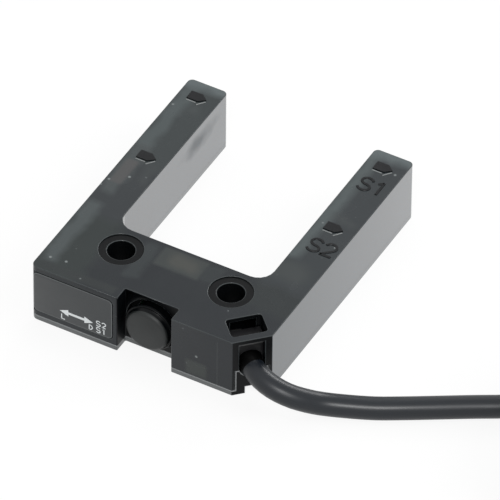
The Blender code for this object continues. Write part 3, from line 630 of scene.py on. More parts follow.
@dataclass(frozen=True)
class Sheathing:
    """Finish of a drawn plastic or rubber sheath, whose marks run along it."""

    name: str
    colour: Triple
    roughness: float
    streaks: float = 0.25
    gloss: float = 0.5

    def material(self) -> Material:
        """Make the material: noise stretched along the UV map's length shades the sheath.

        Returns:
            The material.
        """
        nodes = Nodes(self.name)
        along = nodes.stretched(nodes.unwrapped(), (9.0, 60.0, 1.0))
        streak = nodes.spread(nodes.noise(along, 1.0, 4.0), 0.3, 0.7)
        paler = tuple(channel * (1 + self.streaks) for channel in self.colour)
        nodes.feed(nodes.shader.inputs["Base Color"], nodes.blend(streak, self.colour, paler))
        rough = nodes.spread(streak, 0.0, 1.0, self.roughness * 0.85, self.roughness * 1.15)
        nodes.feed(nodes.shader.inputs["Roughness"], rough)
        fine = nodes.noise(nodes.places(), 6000.0, 3.0)
        nodes.feed(nodes.shader.inputs["Normal"], nodes.bumped(fine, 0.000004))
        nodes.shader.inputs["IOR"].default_value = 1.5
        nodes.shader.inputs["Specular IOR Level"].default_value = self.gloss
        return nodes.material


@dataclass(frozen=True)
class Metal:
    """Finish of bright metal with fine scratches."""

    name: str
    colour: Triple
    roughness: float

    def material(self) -> Material:
        """Make the material: stretched noise varies the roughness.

        Returns:
            The material.
        """
        nodes = Nodes(self.name)
        scratches = nodes.noise(nodes.stretched(nodes.places(), (1.0, 12.0, 1.0)), 900.0, 3.0)
        nodes.shader.inputs["Base Color"].default_value = (*self.colour, 1.0)
        nodes.shader.inputs["Metallic"].default_value = 1.0
        rough = nodes.spread(scratches, 0.3, 0.7, self.roughness * 0.7, self.roughness * 1.3)
        nodes.feed(nodes.shader.inputs["Roughness"], rough)
        return nodes.material


@dataclass(frozen=True)
class Clear:
    """Finish of a clear or tinted moulding that light passes through."""

    name: str
    colour: Triple
    roughness: float
    transmission: float = 0.8

    def material(self) -> Material:
        """Make the material: faint haze in noise over a transmitting shader.

        Returns:
            The material.
        """
        nodes = Nodes(self.name)
        haze = nodes.spread(nodes.noise(nodes.places(), 700.0, 3.0), 0.3, 0.7, 0.0, 0.12)
        nodes.feed(nodes.shader.inputs["Base Color"], nodes.blend(haze, self.colour, (0.9, 0.9, 0.9)))
        nodes.shader.inputs["Roughness"].default_value = self.roughness
        nodes.shader.inputs["Transmission Weight"].default_value = self.transmission
        return nodes.material


@dataclass(frozen=True)
class WallMoulding(Moulding):
    """Finish of the polished arm walls, with a long darker smudge on the left arm's inner wall."""

    smudge: Triple = (6.5, 38.6, 7.6)
    reach: Triple = (1.0, 5.6, 1.9)
    least_coat: float = 0.10

    def material(self) -> Material:
        """Make the moulding's material, its clear coat thinner within an ellipsoid about the smudge.

        Returns:
            The material.
        """
        material = super().material()
        nodes = Nodes(self.name, material)
        length = nodes.add("VectorMath", operation="LENGTH")
        parts = nodes.add("CombineXYZ")
        wander = nodes.spread(nodes.noise(nodes.places(), 350.0, 3.0), 0.2, 0.8, -0.35, 0.35)
        for part, value, middle, reach in zip(
            parts.inputs, nodes.millimetres(nodes.places()), self.smudge, self.reach
        ):
            nodes.feed(part, nodes.math("DIVIDE", nodes.math("SUBTRACT", value, middle), reach))
        nodes.feed(length.inputs[0], parts.outputs[0])
        away = nodes.math("ADD", length.outputs["Value"], wander)
        coat = nodes.spread(away, 0.2, 1.1, self.least_coat, self.coat)
        nodes.feed(nodes.shader.inputs["Coat Weight"], coat)
        return material


# Painted light and shade: paler patches stand in for light and darker patches for shade on the housing's
# top and front.
PAINTED_PATCHES = (
    PaintedPatch(Plane.TOP, (-1.0, 7.5), (-1.0, 15.0), 1.0, (0.0123, 0.018, 0.018)),
    PaintedPatch(Plane.TOP, (-1.0, 7.2), (14.0, 29.0), 1.0, (0.0167, 0.021, 0.024)),
    PaintedPatch(Plane.TOP, (-1.0, 7.2), (27.0, 49.0), 1.2, (0.021, 0.0275, 0.029)),
    PaintedPatch(Plane.TOP, (30.6, 39.0), (8.0, 14.5), 1.0, (0.0096, 0.0137, 0.015)),
    PaintedPatch(Plane.TOP, (30.6, 39.0), (13.5, 49.0), 1.0, (0.017, 0.022, 0.025)),
    PaintedPatch(Plane.TOP, (12.6, 15.0), (5.0, 13.0), 0.5, (0.018, 0.024, 0.026), 0.8),
    PaintedPatch(Plane.TOP, (15.2, 22.7), (9.1, 13.2), 0.3, (0.028, 0.034, 0.033), 0.8),
    PaintedPatch(Plane.TOP, (17.0, 21.8), (10.0, 12.6), 0.7, (0.044, 0.046, 0.041), 0.8),
    PaintedPatch(Plane.TOP, (22.9, 25.0), (9.5, 13.0), 0.4, (0.014, 0.019, 0.021), 0.8),
    PaintedPatch(Plane.TOP, (31.0, 36.5), (15.5, 19.5), 1.0, (0.030, 0.036, 0.036), 0.7),
    PaintedPatch(Plane.TOP, (0.2, 2.7), (2.0, 16.5), 0.7, (0.043, 0.053, 0.055)),
    PaintedPatch(Plane.TOP, (0.2, 2.9), (19.0, 33.0), 0.6, (0.038, 0.046, 0.048)),
    PaintedPatch(Plane.TOP, (0.2, 2.6), (31.0, 49.0), 0.6, (0.046, 0.058, 0.060)),
    PaintedPatch(Plane.TOP, (0.8, 2.7), (21.6, 27.2), 0.25, (0.062, 0.058, 0.058), 0.6),
    PaintedPatch(Plane.TOP, (3.2, 5.0), (40.5, 42.2), 0.7, (0.040, 0.048, 0.049), 0.5),
    PaintedPatch(Plane.TOP, (4.3, 6.0), (23.0, 27.5), 0.7, (0.032, 0.038, 0.039), 0.5),
    PaintedPatch(Plane.TOP, (31.4, 33.2), (20.5, 49.0), 0.7, (0.052, 0.065, 0.067)),
    PaintedPatch(Plane.TOP, (33.0, 37.5), (30.2, 31.6), 0.7, (0.034, 0.040, 0.041), 0.5),
    PaintedPatch(Plane.TOP, (-1.0, 39.0), (45.6, 49.0), 0.8, (0.075, 0.092, 0.096)),
    PaintedPatch(Plane.TOP, (1.0, 13.5), (0.4, 2.0), 0.3, (0.013, 0.017, 0.018), 0.8),
    PaintedPatch(Plane.FRONT, (26.0, 29.4), (1.3, 3.9), 0.3, (0.024, 0.030, 0.028), 0.9),
    PaintedPatch(Plane.FRONT, (31.15, 31.30), (1.0, 9.6), 0.05, (0.020, 0.024, 0.026)),
)
# The housing plastic, carrying the patches of painted light and shade.
SMOKE = SmokyMoulding(
    "smoke_plastic", (0.004, 0.007, 0.010), (0.007, 0.010, 0.013), 0.24, dust=0.8, gloss=0.32, painted_patches=PAINTED_PATCHES
)
# Painted reflection tint: the walls' base colour is bluer than the rest of the housing.
SMOKE_WALL = WallMoulding("smoke_wall", (0.001, 0.012, 0.020), (0.004, 0.016, 0.026), 0.14, coat=1.0)
# Painted highlight: the paler colour of the housing's rounded edges.
EDGE = Moulding("smoke_edge_highlight", (0.022, 0.027, 0.030), (0.034, 0.040, 0.042), 0.30, gloss=0.35)
# Painted shade: the raised arrows and S1 and S2 are darker than the housing, standing in for their dark
# reflection.
SHADED_MARK = Moulding("moulded_mark_shade", (0.0015, 0.002, 0.003), (0.004, 0.005, 0.006), 0.34, gloss=0.20)
# Painted shade: the near-black colour laid on faces in recesses and hollows.
RECESS_SHADE = Moulding("smoke_recess_shade", (0.001, 0.0015, 0.002), (0.003, 0.0035, 0.004), 0.34, gloss=0.11)
# Painted highlight: the pale colour of the ridges under the raised marks.
HIGHLIGHT_LINE = Moulding("painted_highlight_line", (0.15, 0.16, 0.16), (0.20, 0.21, 0.21), 0.35)
COVER = Moulding("cover_plastic", (0.068, 0.075, 0.077), (0.090, 0.097, 0.099), 0.30, coat=0.3)
# Painted highlight: the paler colour of the cover's rounded edges.
HIGHLIT_COVER_EDGE = Moulding("cover_edge_highlight", (0.19, 0.20, 0.205), (0.23, 0.24, 0.245), 0.30)
LABEL = Moulding("label_film", (0.020, 0.024, 0.026), (0.030, 0.033, 0.035), 0.38)
BORDER = Moulding("label_border", (0.085, 0.092, 0.095), (0.110, 0.118, 0.120), 0.40)
CAP = Moulding(
    "cap_rubber", (0.006, 0.008, 0.008), (0.010, 0.012, 0.012), 0.50, grain_depth=0.000008, gloss=0.38
)
NYLON = Moulding("black_nylon", (0.006, 0.006, 0.007), (0.010, 0.010, 0.011), 0.42)
SLIDER = Moulding("slider_nylon", (0.62, 0.62, 0.58), (0.70, 0.70, 0.66), 0.40)
INK = Moulding("print_ink", (0.64, 0.67, 0.68), (0.74, 0.77, 0.78), 0.55)
SHEATH = Sheathing("cable_sheath", (0.003, 0.005, 0.008), 0.37, gloss=0.46)
# Painted shade: the near-black colour of the cable inside the channel.
SHEATH_SHADE = Moulding("sheath_painted_shade", (0.001, 0.001, 0.001), (0.002, 0.002, 0.002), 0.5, gloss=0.05)
TIE = Moulding("tie_nylon", (0.012, 0.012, 0.012), (0.018, 0.018, 0.018), 0.38)
CORES = {
    "brown": Sheathing("core_brown", (0.130, 0.050, 0.022), 0.40),
    "blue": Sheathing("core_blue", (0.020, 0.085, 0.330), 0.40),
    "black": Sheathing("core_black", (0.012, 0.012, 0.012), 0.40),
}
BOARD = Moulding("board_laminate", (0.010, 0.085, 0.032), (0.016, 0.120, 0.048), 0.35, coat=0.4)
CHIP = Moulding("chip_epoxy", (0.014, 0.014, 0.015), (0.020, 0.020, 0.021), 0.45)
TANTALUM = Moulding("capacitor_case", (0.50, 0.30, 0.07), (0.58, 0.36, 0.10), 0.42)
TIN = Metal("tin", (0.72, 0.72, 0.70), 0.30)
COPPER = Metal("tinned_copper", (0.78, 0.74, 0.68), 0.32)
AMBER = Clear("led_amber", (0.85, 0.36, 0.05), 0.25, 0.5)
CLEAR = Clear("clear_acrylic", (0.80, 0.80, 0.78), 0.12)
LENS = Clear("lens_acrylic", (0.28, 0.03, 0.03), 0.08, 0.7)
EPOXY = Clear("package_epoxy", (0.28, 0.30, 0.34), 0.15, 0.5)


Finish = Moulding | Sheathing | Metal | Clear


class Pieces:
    """Puts finished pieces on their bodies and gives the solids that stay their finishes."""

    def __init__(self) -> None:
        """Start with no finish made."""
        self.made: dict[str, Material] = {}

    def finish(self, finish: Finish) -> Material:
        """The material of a finish, made the first time it is asked for.

        Args:
            finish: The finish.

        Returns:
            Its material.
        """
        if finish.name not in self.made:
            self.made[finish.name] = finish.material()
        return self.made[finish.name]

    def dress(self, node: str, finish: Finish) -> None:
        """Give a solid that stays in view a finish.

        Args:
            node: Name of the solid.
            finish: Its finish.
        """
        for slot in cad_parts[node].material_slots:
            slot.material = self.finish(finish)
        LOG.info("dressed %s", node)

    def seat(self, piece: Piece, body: str, slot: str, *replaced: str) -> Piece:
        """Let a new piece ride on its body in place of the solids that it stands for.

        Args:
            piece: The new piece.
            body: Body that it moves with.
            slot: Not used.
            replaced: Solids that it replaces.

        Returns:
            The piece.
        """
        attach(piece, body)
        if replaced:
            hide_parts(*replaced)
        LOG.info("made %s", piece.name)
        return piece


PIECES = Pieces()


@dataclass
class Shell:
    """The moulded housing and its cover: their solids' forms with small rounded edges."""

    edge_round: float = 0.11
    cover_round: float = 0.14
    merge_within: float = 0.000001
    flat_within: float = 0.4
    sharpest: float = 32.0
    wall_facing: float = 0.9
    seam_bottom: float = 0.85
    seam_rise: float = 0.10
    seam_below: float = 0.05
    seam_above: float = 0.1
    holes: tuple[Pair, ...] = ((9.8, 9.45), (28.2, 9.45))
    seat_radius: float = 3.35
    arm_walls: tuple[float, ...] = (0.0, 6.5, 31.5, 38.0)
    wall_reach: float = 0.3
    lug_side: float = 33.6
    lug_rise: float = 0.15
    lug_under: float = -0.5
    above_top: float = 0.05
    below_top: float = 0.1
    notch_half: float = 4.6
    notch_deep: float = 4.6
    front_clear: float = 0.05
    channel_left: float = 29.5
    channel_deep: float = 9.0

    def softened(
        self, node: str, name: str, width: float, finishes: tuple[Moulding, ...]
    ) -> tuple[Piece, np.ndarray, np.ndarray]:
        """Copy a solid's form, merge its loose triangles and round its outward edges.

        Args:
            node: Solid to copy.
            name: Name of the new piece.
            width: Width of the rounding in millimetres.
            finishes: Finishes of the piece, the last one for the rounded edges, where its paler colour is a
                painted highlight.

        Returns:
            The new piece, and the middles (in millimetres from the corner) and normals of its faces.
        """
        work = bmesh.new()
        work.from_mesh(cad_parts[node].data)
        bmesh.ops.remove_doubles(work, verts=work.verts[:], dist=self.merge_within)
        bmesh.ops.dissolve_limit(
            work, angle_limit=math.radians(self.flat_within), verts=work.verts[:], edges=work.edges[:]
        )
        level = [face for face in work.faces if abs(face.normal.z) > self.wall_facing]
        bmesh.ops.connect_verts_concave(work, faces=level)
        work.verts.index_update()
        points = np.array([vertex.co[:] for vertex in work.verts]) / MM - CORNER
        faces = [[vertex.index for vertex in face.verts] for face in work.faces]
        work.free()
        if node == "base_cover":
            points[:, 2] += self.seam_rise * (points[:, 2] > self.seam_bottom - 0.01)
        mesh = bpy.data.meshes.new(name)
        mesh.from_pydata(to_frame(points).tolist(), [], faces)
        for finish in finishes:
            mesh.materials.append(PIECES.finish(finish))
        mesh.shade_smooth()
        piece = linked(name, mesh)
        self.weigh_edges(mesh)
        bevel = piece.modifiers.new("rounded edges", "BEVEL")
        bevel.width = width * MM
        bevel.segments = 3
        bevel.limit_method = "WEIGHT"
        # The rounded edges take the last finish, which paints a highlight on them.
        bevel.material = len(finishes) - 1
        bevel.use_clamp_overlap = False
        bevel.loop_slide = False
        bevel.harden_normals = True
        middles, normals = np.zeros((2, len(mesh.polygons) * 3), np.float32)
        mesh.polygons.foreach_get("center", middles)
        mesh.polygons.foreach_get("normal", normals)
        return piece, middles.reshape(-1, 3) / MM - CORNER, normals.reshape(-1, 3)

    def weigh_edges(self, mesh: bpy.types.Mesh) -> None:
        """Mark the outward edges to round, and keep the other edges over the limit as creases.

        Args:
            mesh: Mesh that gets the marks.
        """
        work = bmesh.new()
        work.from_mesh(mesh)
        angles = np.array([edge.calc_face_angle_signed(0.0) for edge in work.edges])
        sharp = np.abs(angles) > math.radians(self.sharpest)
        kept_sharp = np.array([self.on_side_seam(edge) or self.on_arrow(edge) for edge in work.edges])
        work.free()
        rounded = (angles > 0) & sharp & ~kept_sharp
        weights = mesh.attributes.new("bevel_weight_edge", "FLOAT", "EDGE")
        weights.data.foreach_set("value", rounded.astype(np.float32))
        creases = mesh.attributes.new("sharp_edge", "BOOLEAN", "EDGE")
        creases.data.foreach_set("value", sharp & ~rounded)

    def on_side_seam(self, edge: bmesh.types.BMEdge) -> bool:
        """Whether an edge lies on the seam of a side wall, where the two mouldings meet closely.

        Args:
            edge: The edge.

        Returns:
            True when the edge is level with the seam and touches a side wall.
        """
        seam = self.seam_bottom + self.seam_rise
        heights = [vertex.co.z / MM for vertex in edge.verts]
        sideways = any(abs(face.normal.x) > self.wall_facing for face in edge.link_faces)
        return sideways and min(heights) > seam - self.seam_below and max(heights) < seam + self.seam_above

    def on_arrow(self, edge: bmesh.types.BMEdge) -> bool:
        """Whether an edge belongs to a raised arrow."""
        return max(vertex.co.z for vertex in edge.verts) / MM > BODY_HEIGHT + self.above_top

    def walls(self, middles: np.ndarray, normals: np.ndarray) -> np.ndarray:
        """Which faces lie on the flat sides of the arms."""
        gaps = np.abs(middles[:, 0:1] - np.array(self.arm_walls)[None, :]).min(axis=1)
        return (np.abs(normals[:, 0]) > self.wall_facing) & (gaps < self.wall_reach)

    def recessed(self, middles: np.ndarray) -> np.ndarray:
        """Which faces lie in the notch, the bores and seats or the cable channel, the faces that get
        painted shade.

        Args:
            middles: Array (n, 3) of the faces' middles.

        Returns:
            Array (n,) of truth values.
        """
        x, y, z = middles.T
        notch = (np.abs(x - BODY_WIDTH / 2) < self.notch_half) & (y < self.notch_deep)
        notch &= y > self.front_clear
        spans = np.linalg.norm(middles[:, None, :2] - np.array(self.holes)[None, :, :], axis=2).min(axis=1)
        bores = spans < self.seat_radius
        inside = (y > self.below_top) & (x < BODY_WIDTH - self.below_top)
        channel = (x > self.channel_left) & (y < self.channel_deep) & inside
        return (notch | bores | channel) & (z < BODY_HEIGHT - self.below_top)

    def build(self) -> None:
        """Make the housing and the cover, and give each of their faces its finish."""
        housing, middles, normals = self.softened(
            "housing", "housing_shell", self.edge_round, (SMOKE, SMOKE_WALL, SHADED_MARK, RECESS_SHADE, EDGE)
        )
        arrows = middles[:, 2] > BODY_HEIGHT + self.above_top
        plain, wall, mark, shade_index = range(4)
        # The raised arrows take the mark finish, which paints shade on them.
        index = np.where(self.walls(middles, normals), wall, np.where(arrows, mark, plain))
        # Painted shade: faces in the notch, the bores and seats and the cable channel take the near-black
        # recess colour.
        index = np.where(self.recessed(middles), shade_index, index)
        housing.data.polygons.foreach_set("material_index", index.astype(np.int32))
        PIECES.seat(housing, "body", "smoke_plastic", "housing")
        cover, middles, normals = self.softened(
            "base_cover", "bottom_cover", self.cover_round, (COVER, SMOKE_WALL, RECESS_SHADE, HIGHLIT_COVER_EDGE)
        )
        # Painted shade: the cover's lug and its faces under the cable's exit take the near-black recess
        # colour.
        lug = (middles[:, 2] > self.seam_bottom + self.lug_rise) | (
            (middles[:, 0] - middles[:, 1] > self.lug_side) & (normals[:, 2] > self.lug_under)
        )
        plain, wall, shade_index = range(3)
        index = np.where(lug, shade_index, np.where(self.walls(middles, normals), wall, plain))
        cover.data.polygons.foreach_set("material_index", index.astype(np.int32))
        PIECES.seat(cover, "body", "cover_plastic", "base_cover")


@dataclass
class Glyphs:
    """Strokes of the few generic marks, in a box one unit high and 0.6 wide."""

    pitch: float = 0.78
    widening: float = 1.0

    def strokes(self, sign: str) -> list[np.ndarray]:
        """The centre lines of one sign's strokes.

        Args:
            sign: One of S, 1, 2, L and D.

        Returns:
            Arrays (n, 2), each one stroke, in units of the sign's height.
        """
        line = self.line
        table = {
            "S": [
                np.concatenate(
                    [
                        arc((0.30, 0.745), (0.27, 0.255), 20, 270, 22),
                        arc((0.30, 0.245), (0.29, 0.245), 90, -160, 24)[1:],
                    ]
                )
            ],
            "1": [line((0.32, 0.0), (0.32, 1.0)), line((0.32, 1.0), (0.10, 0.80))],
            "2": [
                np.concatenate(
                    [
                        arc((0.30, 0.71), (0.27, 0.29), 165, -38, 20),
                        line((0.50, 0.51), (0.03, 0.02))[1:],
                    ]
                ),
                line((0.0, 0.02), (0.58, 0.02)),
            ],
            "L": [line((0.06, 1.0), (0.06, 0.0)), line((0.02, 0.03), (0.56, 0.03))],
            "D": [line((0.06, 0.0), (0.06, 1.0)), arc((0.06, 0.5), (0.48, 0.47), 90, -90, 20)],
        }
        return table[sign]

    @staticmethod
    def line(start: Pair, end: Pair) -> np.ndarray:
        """Six points on a straight line."""
        share = np.linspace(0.0, 1.0, 6)[:, None]
        return np.array(start) * (1 - share) + np.array(end) * share

    def raised(
        self, text: str, corner: Pair, height: float, width: float, rise: float, plane: Plane, level: float
    ) -> tuple[np.ndarray, list]:
        """Ribbons that follow a word's strokes on a face of the body.

        The ribbon's section is a low box whose top edges are cut at a slant.

        Args:
            text: The signs.
            corner: Lower left corner of the word on the face.
            height: Height of the signs.
            width: Width of a stroke.
            rise: How far the strokes stand out of the face.
            plane: Face that they stand on.
            level: The face's own distance out.

        Returns:
            Array of points and list of faces.
        """
        lines = [
            np.array(corner) + (stroke + (self.pitch * index, 0.0)) * (self.widening, 1.0) * height
            for index, sign in enumerate(text)
            for stroke in self.strokes(sign)
        ]
        return ribbons(lines, width, rise, plane, level)


def ribbons(
    lines: list[np.ndarray], width: float, rise: float, plane: Plane, level: float
) -> tuple[np.ndarray, list]:
    """Closed ribbons along flat lines: a low box section, its top edges cut at a slant, carried along.

    Args:
        lines: Arrays (n, 2) on the face.
        width: Width of a ribbon.
        rise: How far the ribbons stand out of the face, and how deep they start in it.
        plane: Face that they stand on.
        level: The face's own distance out.

    Returns:
        Array of points and list of faces.
    """
    half = width / 2
    slant = min(rise, half) * 0.5
    section = np.array(
        [
            (-half, -rise),
            (half, -rise),
            (half, rise - slant),
            (half - slant, rise),
            (slant - half, rise),
            (-half, rise - slant),
        ]
    )
    points, faces, count = [], [], 0
    for flat in lines:
        ahead = unit(np.gradient(flat, axis=0))
        side = np.stack([ahead[:, 1], -ahead[:, 0]], axis=1)
        spots = flat[:, None, :] + side[:, None, :] * section[None, :, 0:1]
        outs = np.broadcast_to(section[None, :, 1], spots.shape[:2])
        rings = plane.place(spots, outs, level)
        size = len(flat) * len(section)
        quads, _ = grid_faces(len(flat), len(section), True)
        ends = [list(range(len(section))), list(range(size - len(section), size))]
        points.append(rings.reshape(-1, 3))
        faces += (quads + count).tolist() + [[number + count for number in end] for end in ends]
        count += size
    return np.concatenate(points), faces


def layered(outline: np.ndarray, layers: list[Pair], plane: Plane, level: float) -> np.ndarray:
    """Rings of an outline moved inwards and outwards of a face, one for each layer.

    Args:
        outline: Array (n, 2), counter-clockwise.
        layers: Pairs of inset and distance out of the face.
        plane: Face that the rings lie on.
        level: The face's own distance out.

    Returns:
        Array (layers, n, 3): each point less its outward normal times the inset.
    """
    ahead = unit(np.roll(outline, -1, axis=0) - np.roll(outline, 1, axis=0))
    outward = np.stack([ahead[:, 1], -ahead[:, 0]], axis=1)
    return np.stack([plane.place(outline - outward * inset, out, level) for inset, out in layers])


@dataclass
class ArmMarks:
    """Moulded channel names on the right arm, and pale ridges of painted highlight under the arrows on both
    arms.
    """

    height: float = 2.75
    stroke: float = 0.42
    rise: float = 0.10
    left: float = 33.0
    lower_one: float = 38.2
    lower_two: float = 22.9
    s2_highlight_span: Pair = (2.35, 4.0)
    s2_highlight_drop: float = 0.05
    arm_width: float = 6.5
    arrow_setback: float = 1.7
    arrow_middles: Pair = (43.9, 28.8)
    highlight_width: float = 0.20
    highlight_rise: float = 0.05
    shaft_highlight: tuple[Pair, Pair] = ((0.1, -1.12), (1.7, -1.12))
    point_highlight: tuple[Pair, Pair] = ((2.0, -1.5), (2.95, -0.3))

    def build(self) -> None:
        """Raise S1 and S2 out of the right arm's top, and lay the pale ridges of painted highlight under S2
        and the arrows.
        """
        glyphs = Glyphs(pitch=0.72, widening=1.18)
        # Painted highlight: a pale line under S2.
        ends = [(self.left + across, self.lower_two - self.s2_highlight_drop) for across in self.s2_highlight_span]
        self.highlight_ridges("highlight_under_s2", [Glyphs.line(*ends)])
        for text, lower in (("S1", self.lower_one), ("S2", self.lower_two)):
            points, faces = glyphs.raised(
                text, (self.left, lower), self.height, self.stroke, self.rise, Plane.TOP, BODY_HEIGHT
            )
            piece = make_object(f"moulded_{text.lower()}", points, faces, PIECES.finish(SHADED_MARK))
            PIECES.seat(piece, "body", "smoke_plastic")
        for side, arm in (("left", 0.0), ("right", BODY_WIDTH - self.arm_width)):
            for number, middle in enumerate(self.arrow_middles, 1):
                start = (arm + self.arrow_setback, middle)
                # Painted highlight: pale lines under each arrow's shaft and point.
                lines = [Glyphs.line(*ends) + start for ends in (self.shaft_highlight, self.point_highlight)]
                self.highlight_ridges(f"arrow_highlights_{side}_{number}", lines)

    def highlight_ridges(self, name: str, lines: list[np.ndarray]) -> None:
        """Lay low pale ridges on the arm's top, a painted highlight for the raised marks' lit lower edges.

        Args:
            name: Name of the piece.
            lines: Arrays (n, 2), the ridges' centre lines.
        """
        points, faces = ribbons(lines, self.highlight_width, self.highlight_rise, Plane.TOP, BODY_HEIGHT)
        PIECES.seat(make_object(name, points, faces, PIECES.finish(HIGHLIGHT_LINE)), "body", "smoke_plastic")


@dataclass
class Label:
    """The plate on the front face and its generic print."""

    left: float = 0.5
    bottom: float = 1.9
    width: float = 13.2
    height: float = 7.5
    corner: float = 0.75
    back: float = -0.20
    face: float = 0.05
    edge_drop: float = 0.06
    rim: float = 0.02
    border: float = 0.13
    border_drop: float = 0.01
    border_slope: float = 0.03
    ink: float = 0.012
    stroke: float = 0.17
    words: tuple[tuple[str, Pair, float], ...] = (
        ("L", (5.15, 2.28), 0.95),
        ("D", (9.80, 2.28), 0.95),
        ("S2", (11.05, 3.55), 0.98),
        ("S1", (11.05, 2.28), 0.98),
    )
    arrow_ends: Pair = (4.9, 10.5)
    arrow_middle: float = 3.78
    arrow_head: Pair = (1.45, 0.64)
    half_shaft: float = 0.22

    def build(self) -> None:
        """Make the plate, the double arrow and the letters."""
        centre = np.array((self.left + self.width / 2, self.bottom + self.height / 2))
        outline = rounded_rectangle(self.width, self.height, self.corner) + centre
        layers = [
            (0.0, self.back),
            (0.0, self.face - self.edge_drop),
            (self.rim, self.face - self.rim),
            (self.border, self.face - self.border_drop),
            (self.border + self.border_slope, self.face),
        ]
        plate = lofted("label", layered(outline, layers, Plane.FRONT, 0.0), PIECES.finish(LABEL))
        plate.data.materials.append(PIECES.finish(BORDER))
        border_row = 2
        row = np.arange(len(plate.data.polygons)) // len(outline)
        plate.data.polygons.foreach_set("material_index", (row == border_row).astype(np.int32))
        PIECES.seat(plate, "body", "label_film", "label_plate")
        self.arrow()
        glyphs = Glyphs(pitch=0.82, widening=1.15)
        for text, corner, height in self.words:
            points, faces = glyphs.raised(
                text, corner, height, self.stroke, self.ink, Plane.FRONT, self.face
            )
            word = make_object(f"print_{text.lower()}", points, faces, PIECES.finish(INK))
            PIECES.seat(word, "body", "label_film")

    def arrow(self) -> None:
        """Print the double-headed arrow that shows the selectors' travel."""
        (left, right), middle = self.arrow_ends, self.arrow_middle
        head, half_head = self.arrow_head
        half = np.array(
            [(left, middle), (left + head, middle - half_head), (left + head, middle - self.half_shaft)]
        )
        turned = np.array([left + right, 2 * middle]) - half
        mirrored = half[::-1] * (-1, 1) + (left + right, 0)
        mirrored_turned = turned[::-1] * (-1, 1) + (left + right, 0)
        outline = np.concatenate([half, mirrored, turned[1:], mirrored_turned[:-1]])
        rings = layered(outline, [(0.0, -self.ink), (0.0, self.ink)], Plane.FRONT, self.face)
        PIECES.seat(lofted("print_arrow", rings, PIECES.finish(INK)), "body", "label_film")


@dataclass
class SelectorCap:
    """The round cap in the notch: a shallow dome with a rolled edge, a flange and a hollow stem."""

    height: float = 5.5
    front: float = 0.2
    face_radius: float = 3.52
    dome_rise: float = 0.30
    edge_roll: float = 0.7
    side_radius: float = 3.65
    flange_radius: float = 3.95
    flange: float = 0.45
    depth: float = 1.7
    stem_radius: float = 3.0
    stem_wall: float = 0.6
    stem_back: float = 4.5
    pole: float = 0.02
    flare: tuple[Pair, Pair] = ((-0.02, -0.05), (0.03, 0.0))
    flange_cut: float = 0.08
    stem_cut: float = 0.1
    dome_rows: int = 18
    roll_rows: int = 7
    around: int = 96

    def build(self) -> None:
        """Turn the cap's profile about the line that it pulls off along."""
        sphere = (self.face_radius**2 + self.dome_rise**2) / (2 * self.dome_rise)
        reach = self.face_radius - self.edge_roll
        radius = np.linspace(self.pole, reach, self.dome_rows)
        dome = np.stack([radius, self.front + sphere - np.sqrt(sphere**2 - radius**2)], axis=1)
        edge = dome[-1, 1] + self.edge_roll
        roll = arc((reach, edge), (self.edge_roll, self.edge_roll), -90, 0, self.roll_rows)[1:]
        flange_front = self.front + self.depth - self.flange
        flange_back = self.front + self.depth
        cut, stem_cut, bore = self.flange_cut, self.stem_cut, self.stem_radius - self.stem_wall
        rest = np.array(
            [
                *((self.side_radius + out, flange_front + back) for out, back in self.flare),
                (self.flange_radius - cut, flange_front),
                (self.flange_radius, flange_front + cut),
                (self.flange_radius, flange_back - cut),
                (self.flange_radius - cut, flange_back),
                (self.stem_radius, flange_back),
                (self.stem_radius, self.stem_back - stem_cut),
                (self.stem_radius - stem_cut, self.stem_back),
                (bore, self.stem_back),
                (bore, flange_back),
                (self.pole, flange_back),
            ]
        )
        profile = np.concatenate([dome, roll, rest])
        around = circle(self.around)
        rings = np.stack(
            [
                BODY_WIDTH / 2 + profile[:, 0:1] * around[None, :, 0],
                np.broadcast_to(profile[:, 1:2], (len(profile), len(around))),
                self.height + profile[:, 0:1] * around[None, :, 1],
            ],
            axis=2,
        )
        cap = lofted("cap", rings, PIECES.finish(CAP))
        # Painted shade: the cap's side, flange and stem take the near-black recess colour.
        cap.data.materials.append(PIECES.finish(RECESS_SHADE))
        row = np.arange(len(cap.data.polygons)) // self.around
        shaded_rows = (row >= len(dome) + len(roll) - 2) & (row < len(profile) - 1)
        cap.data.polygons.foreach_set("material_index", shaded_rows.astype(np.int32))
        PIECES.seat(cap, "cap", "cap_rubber", "selector_cap")


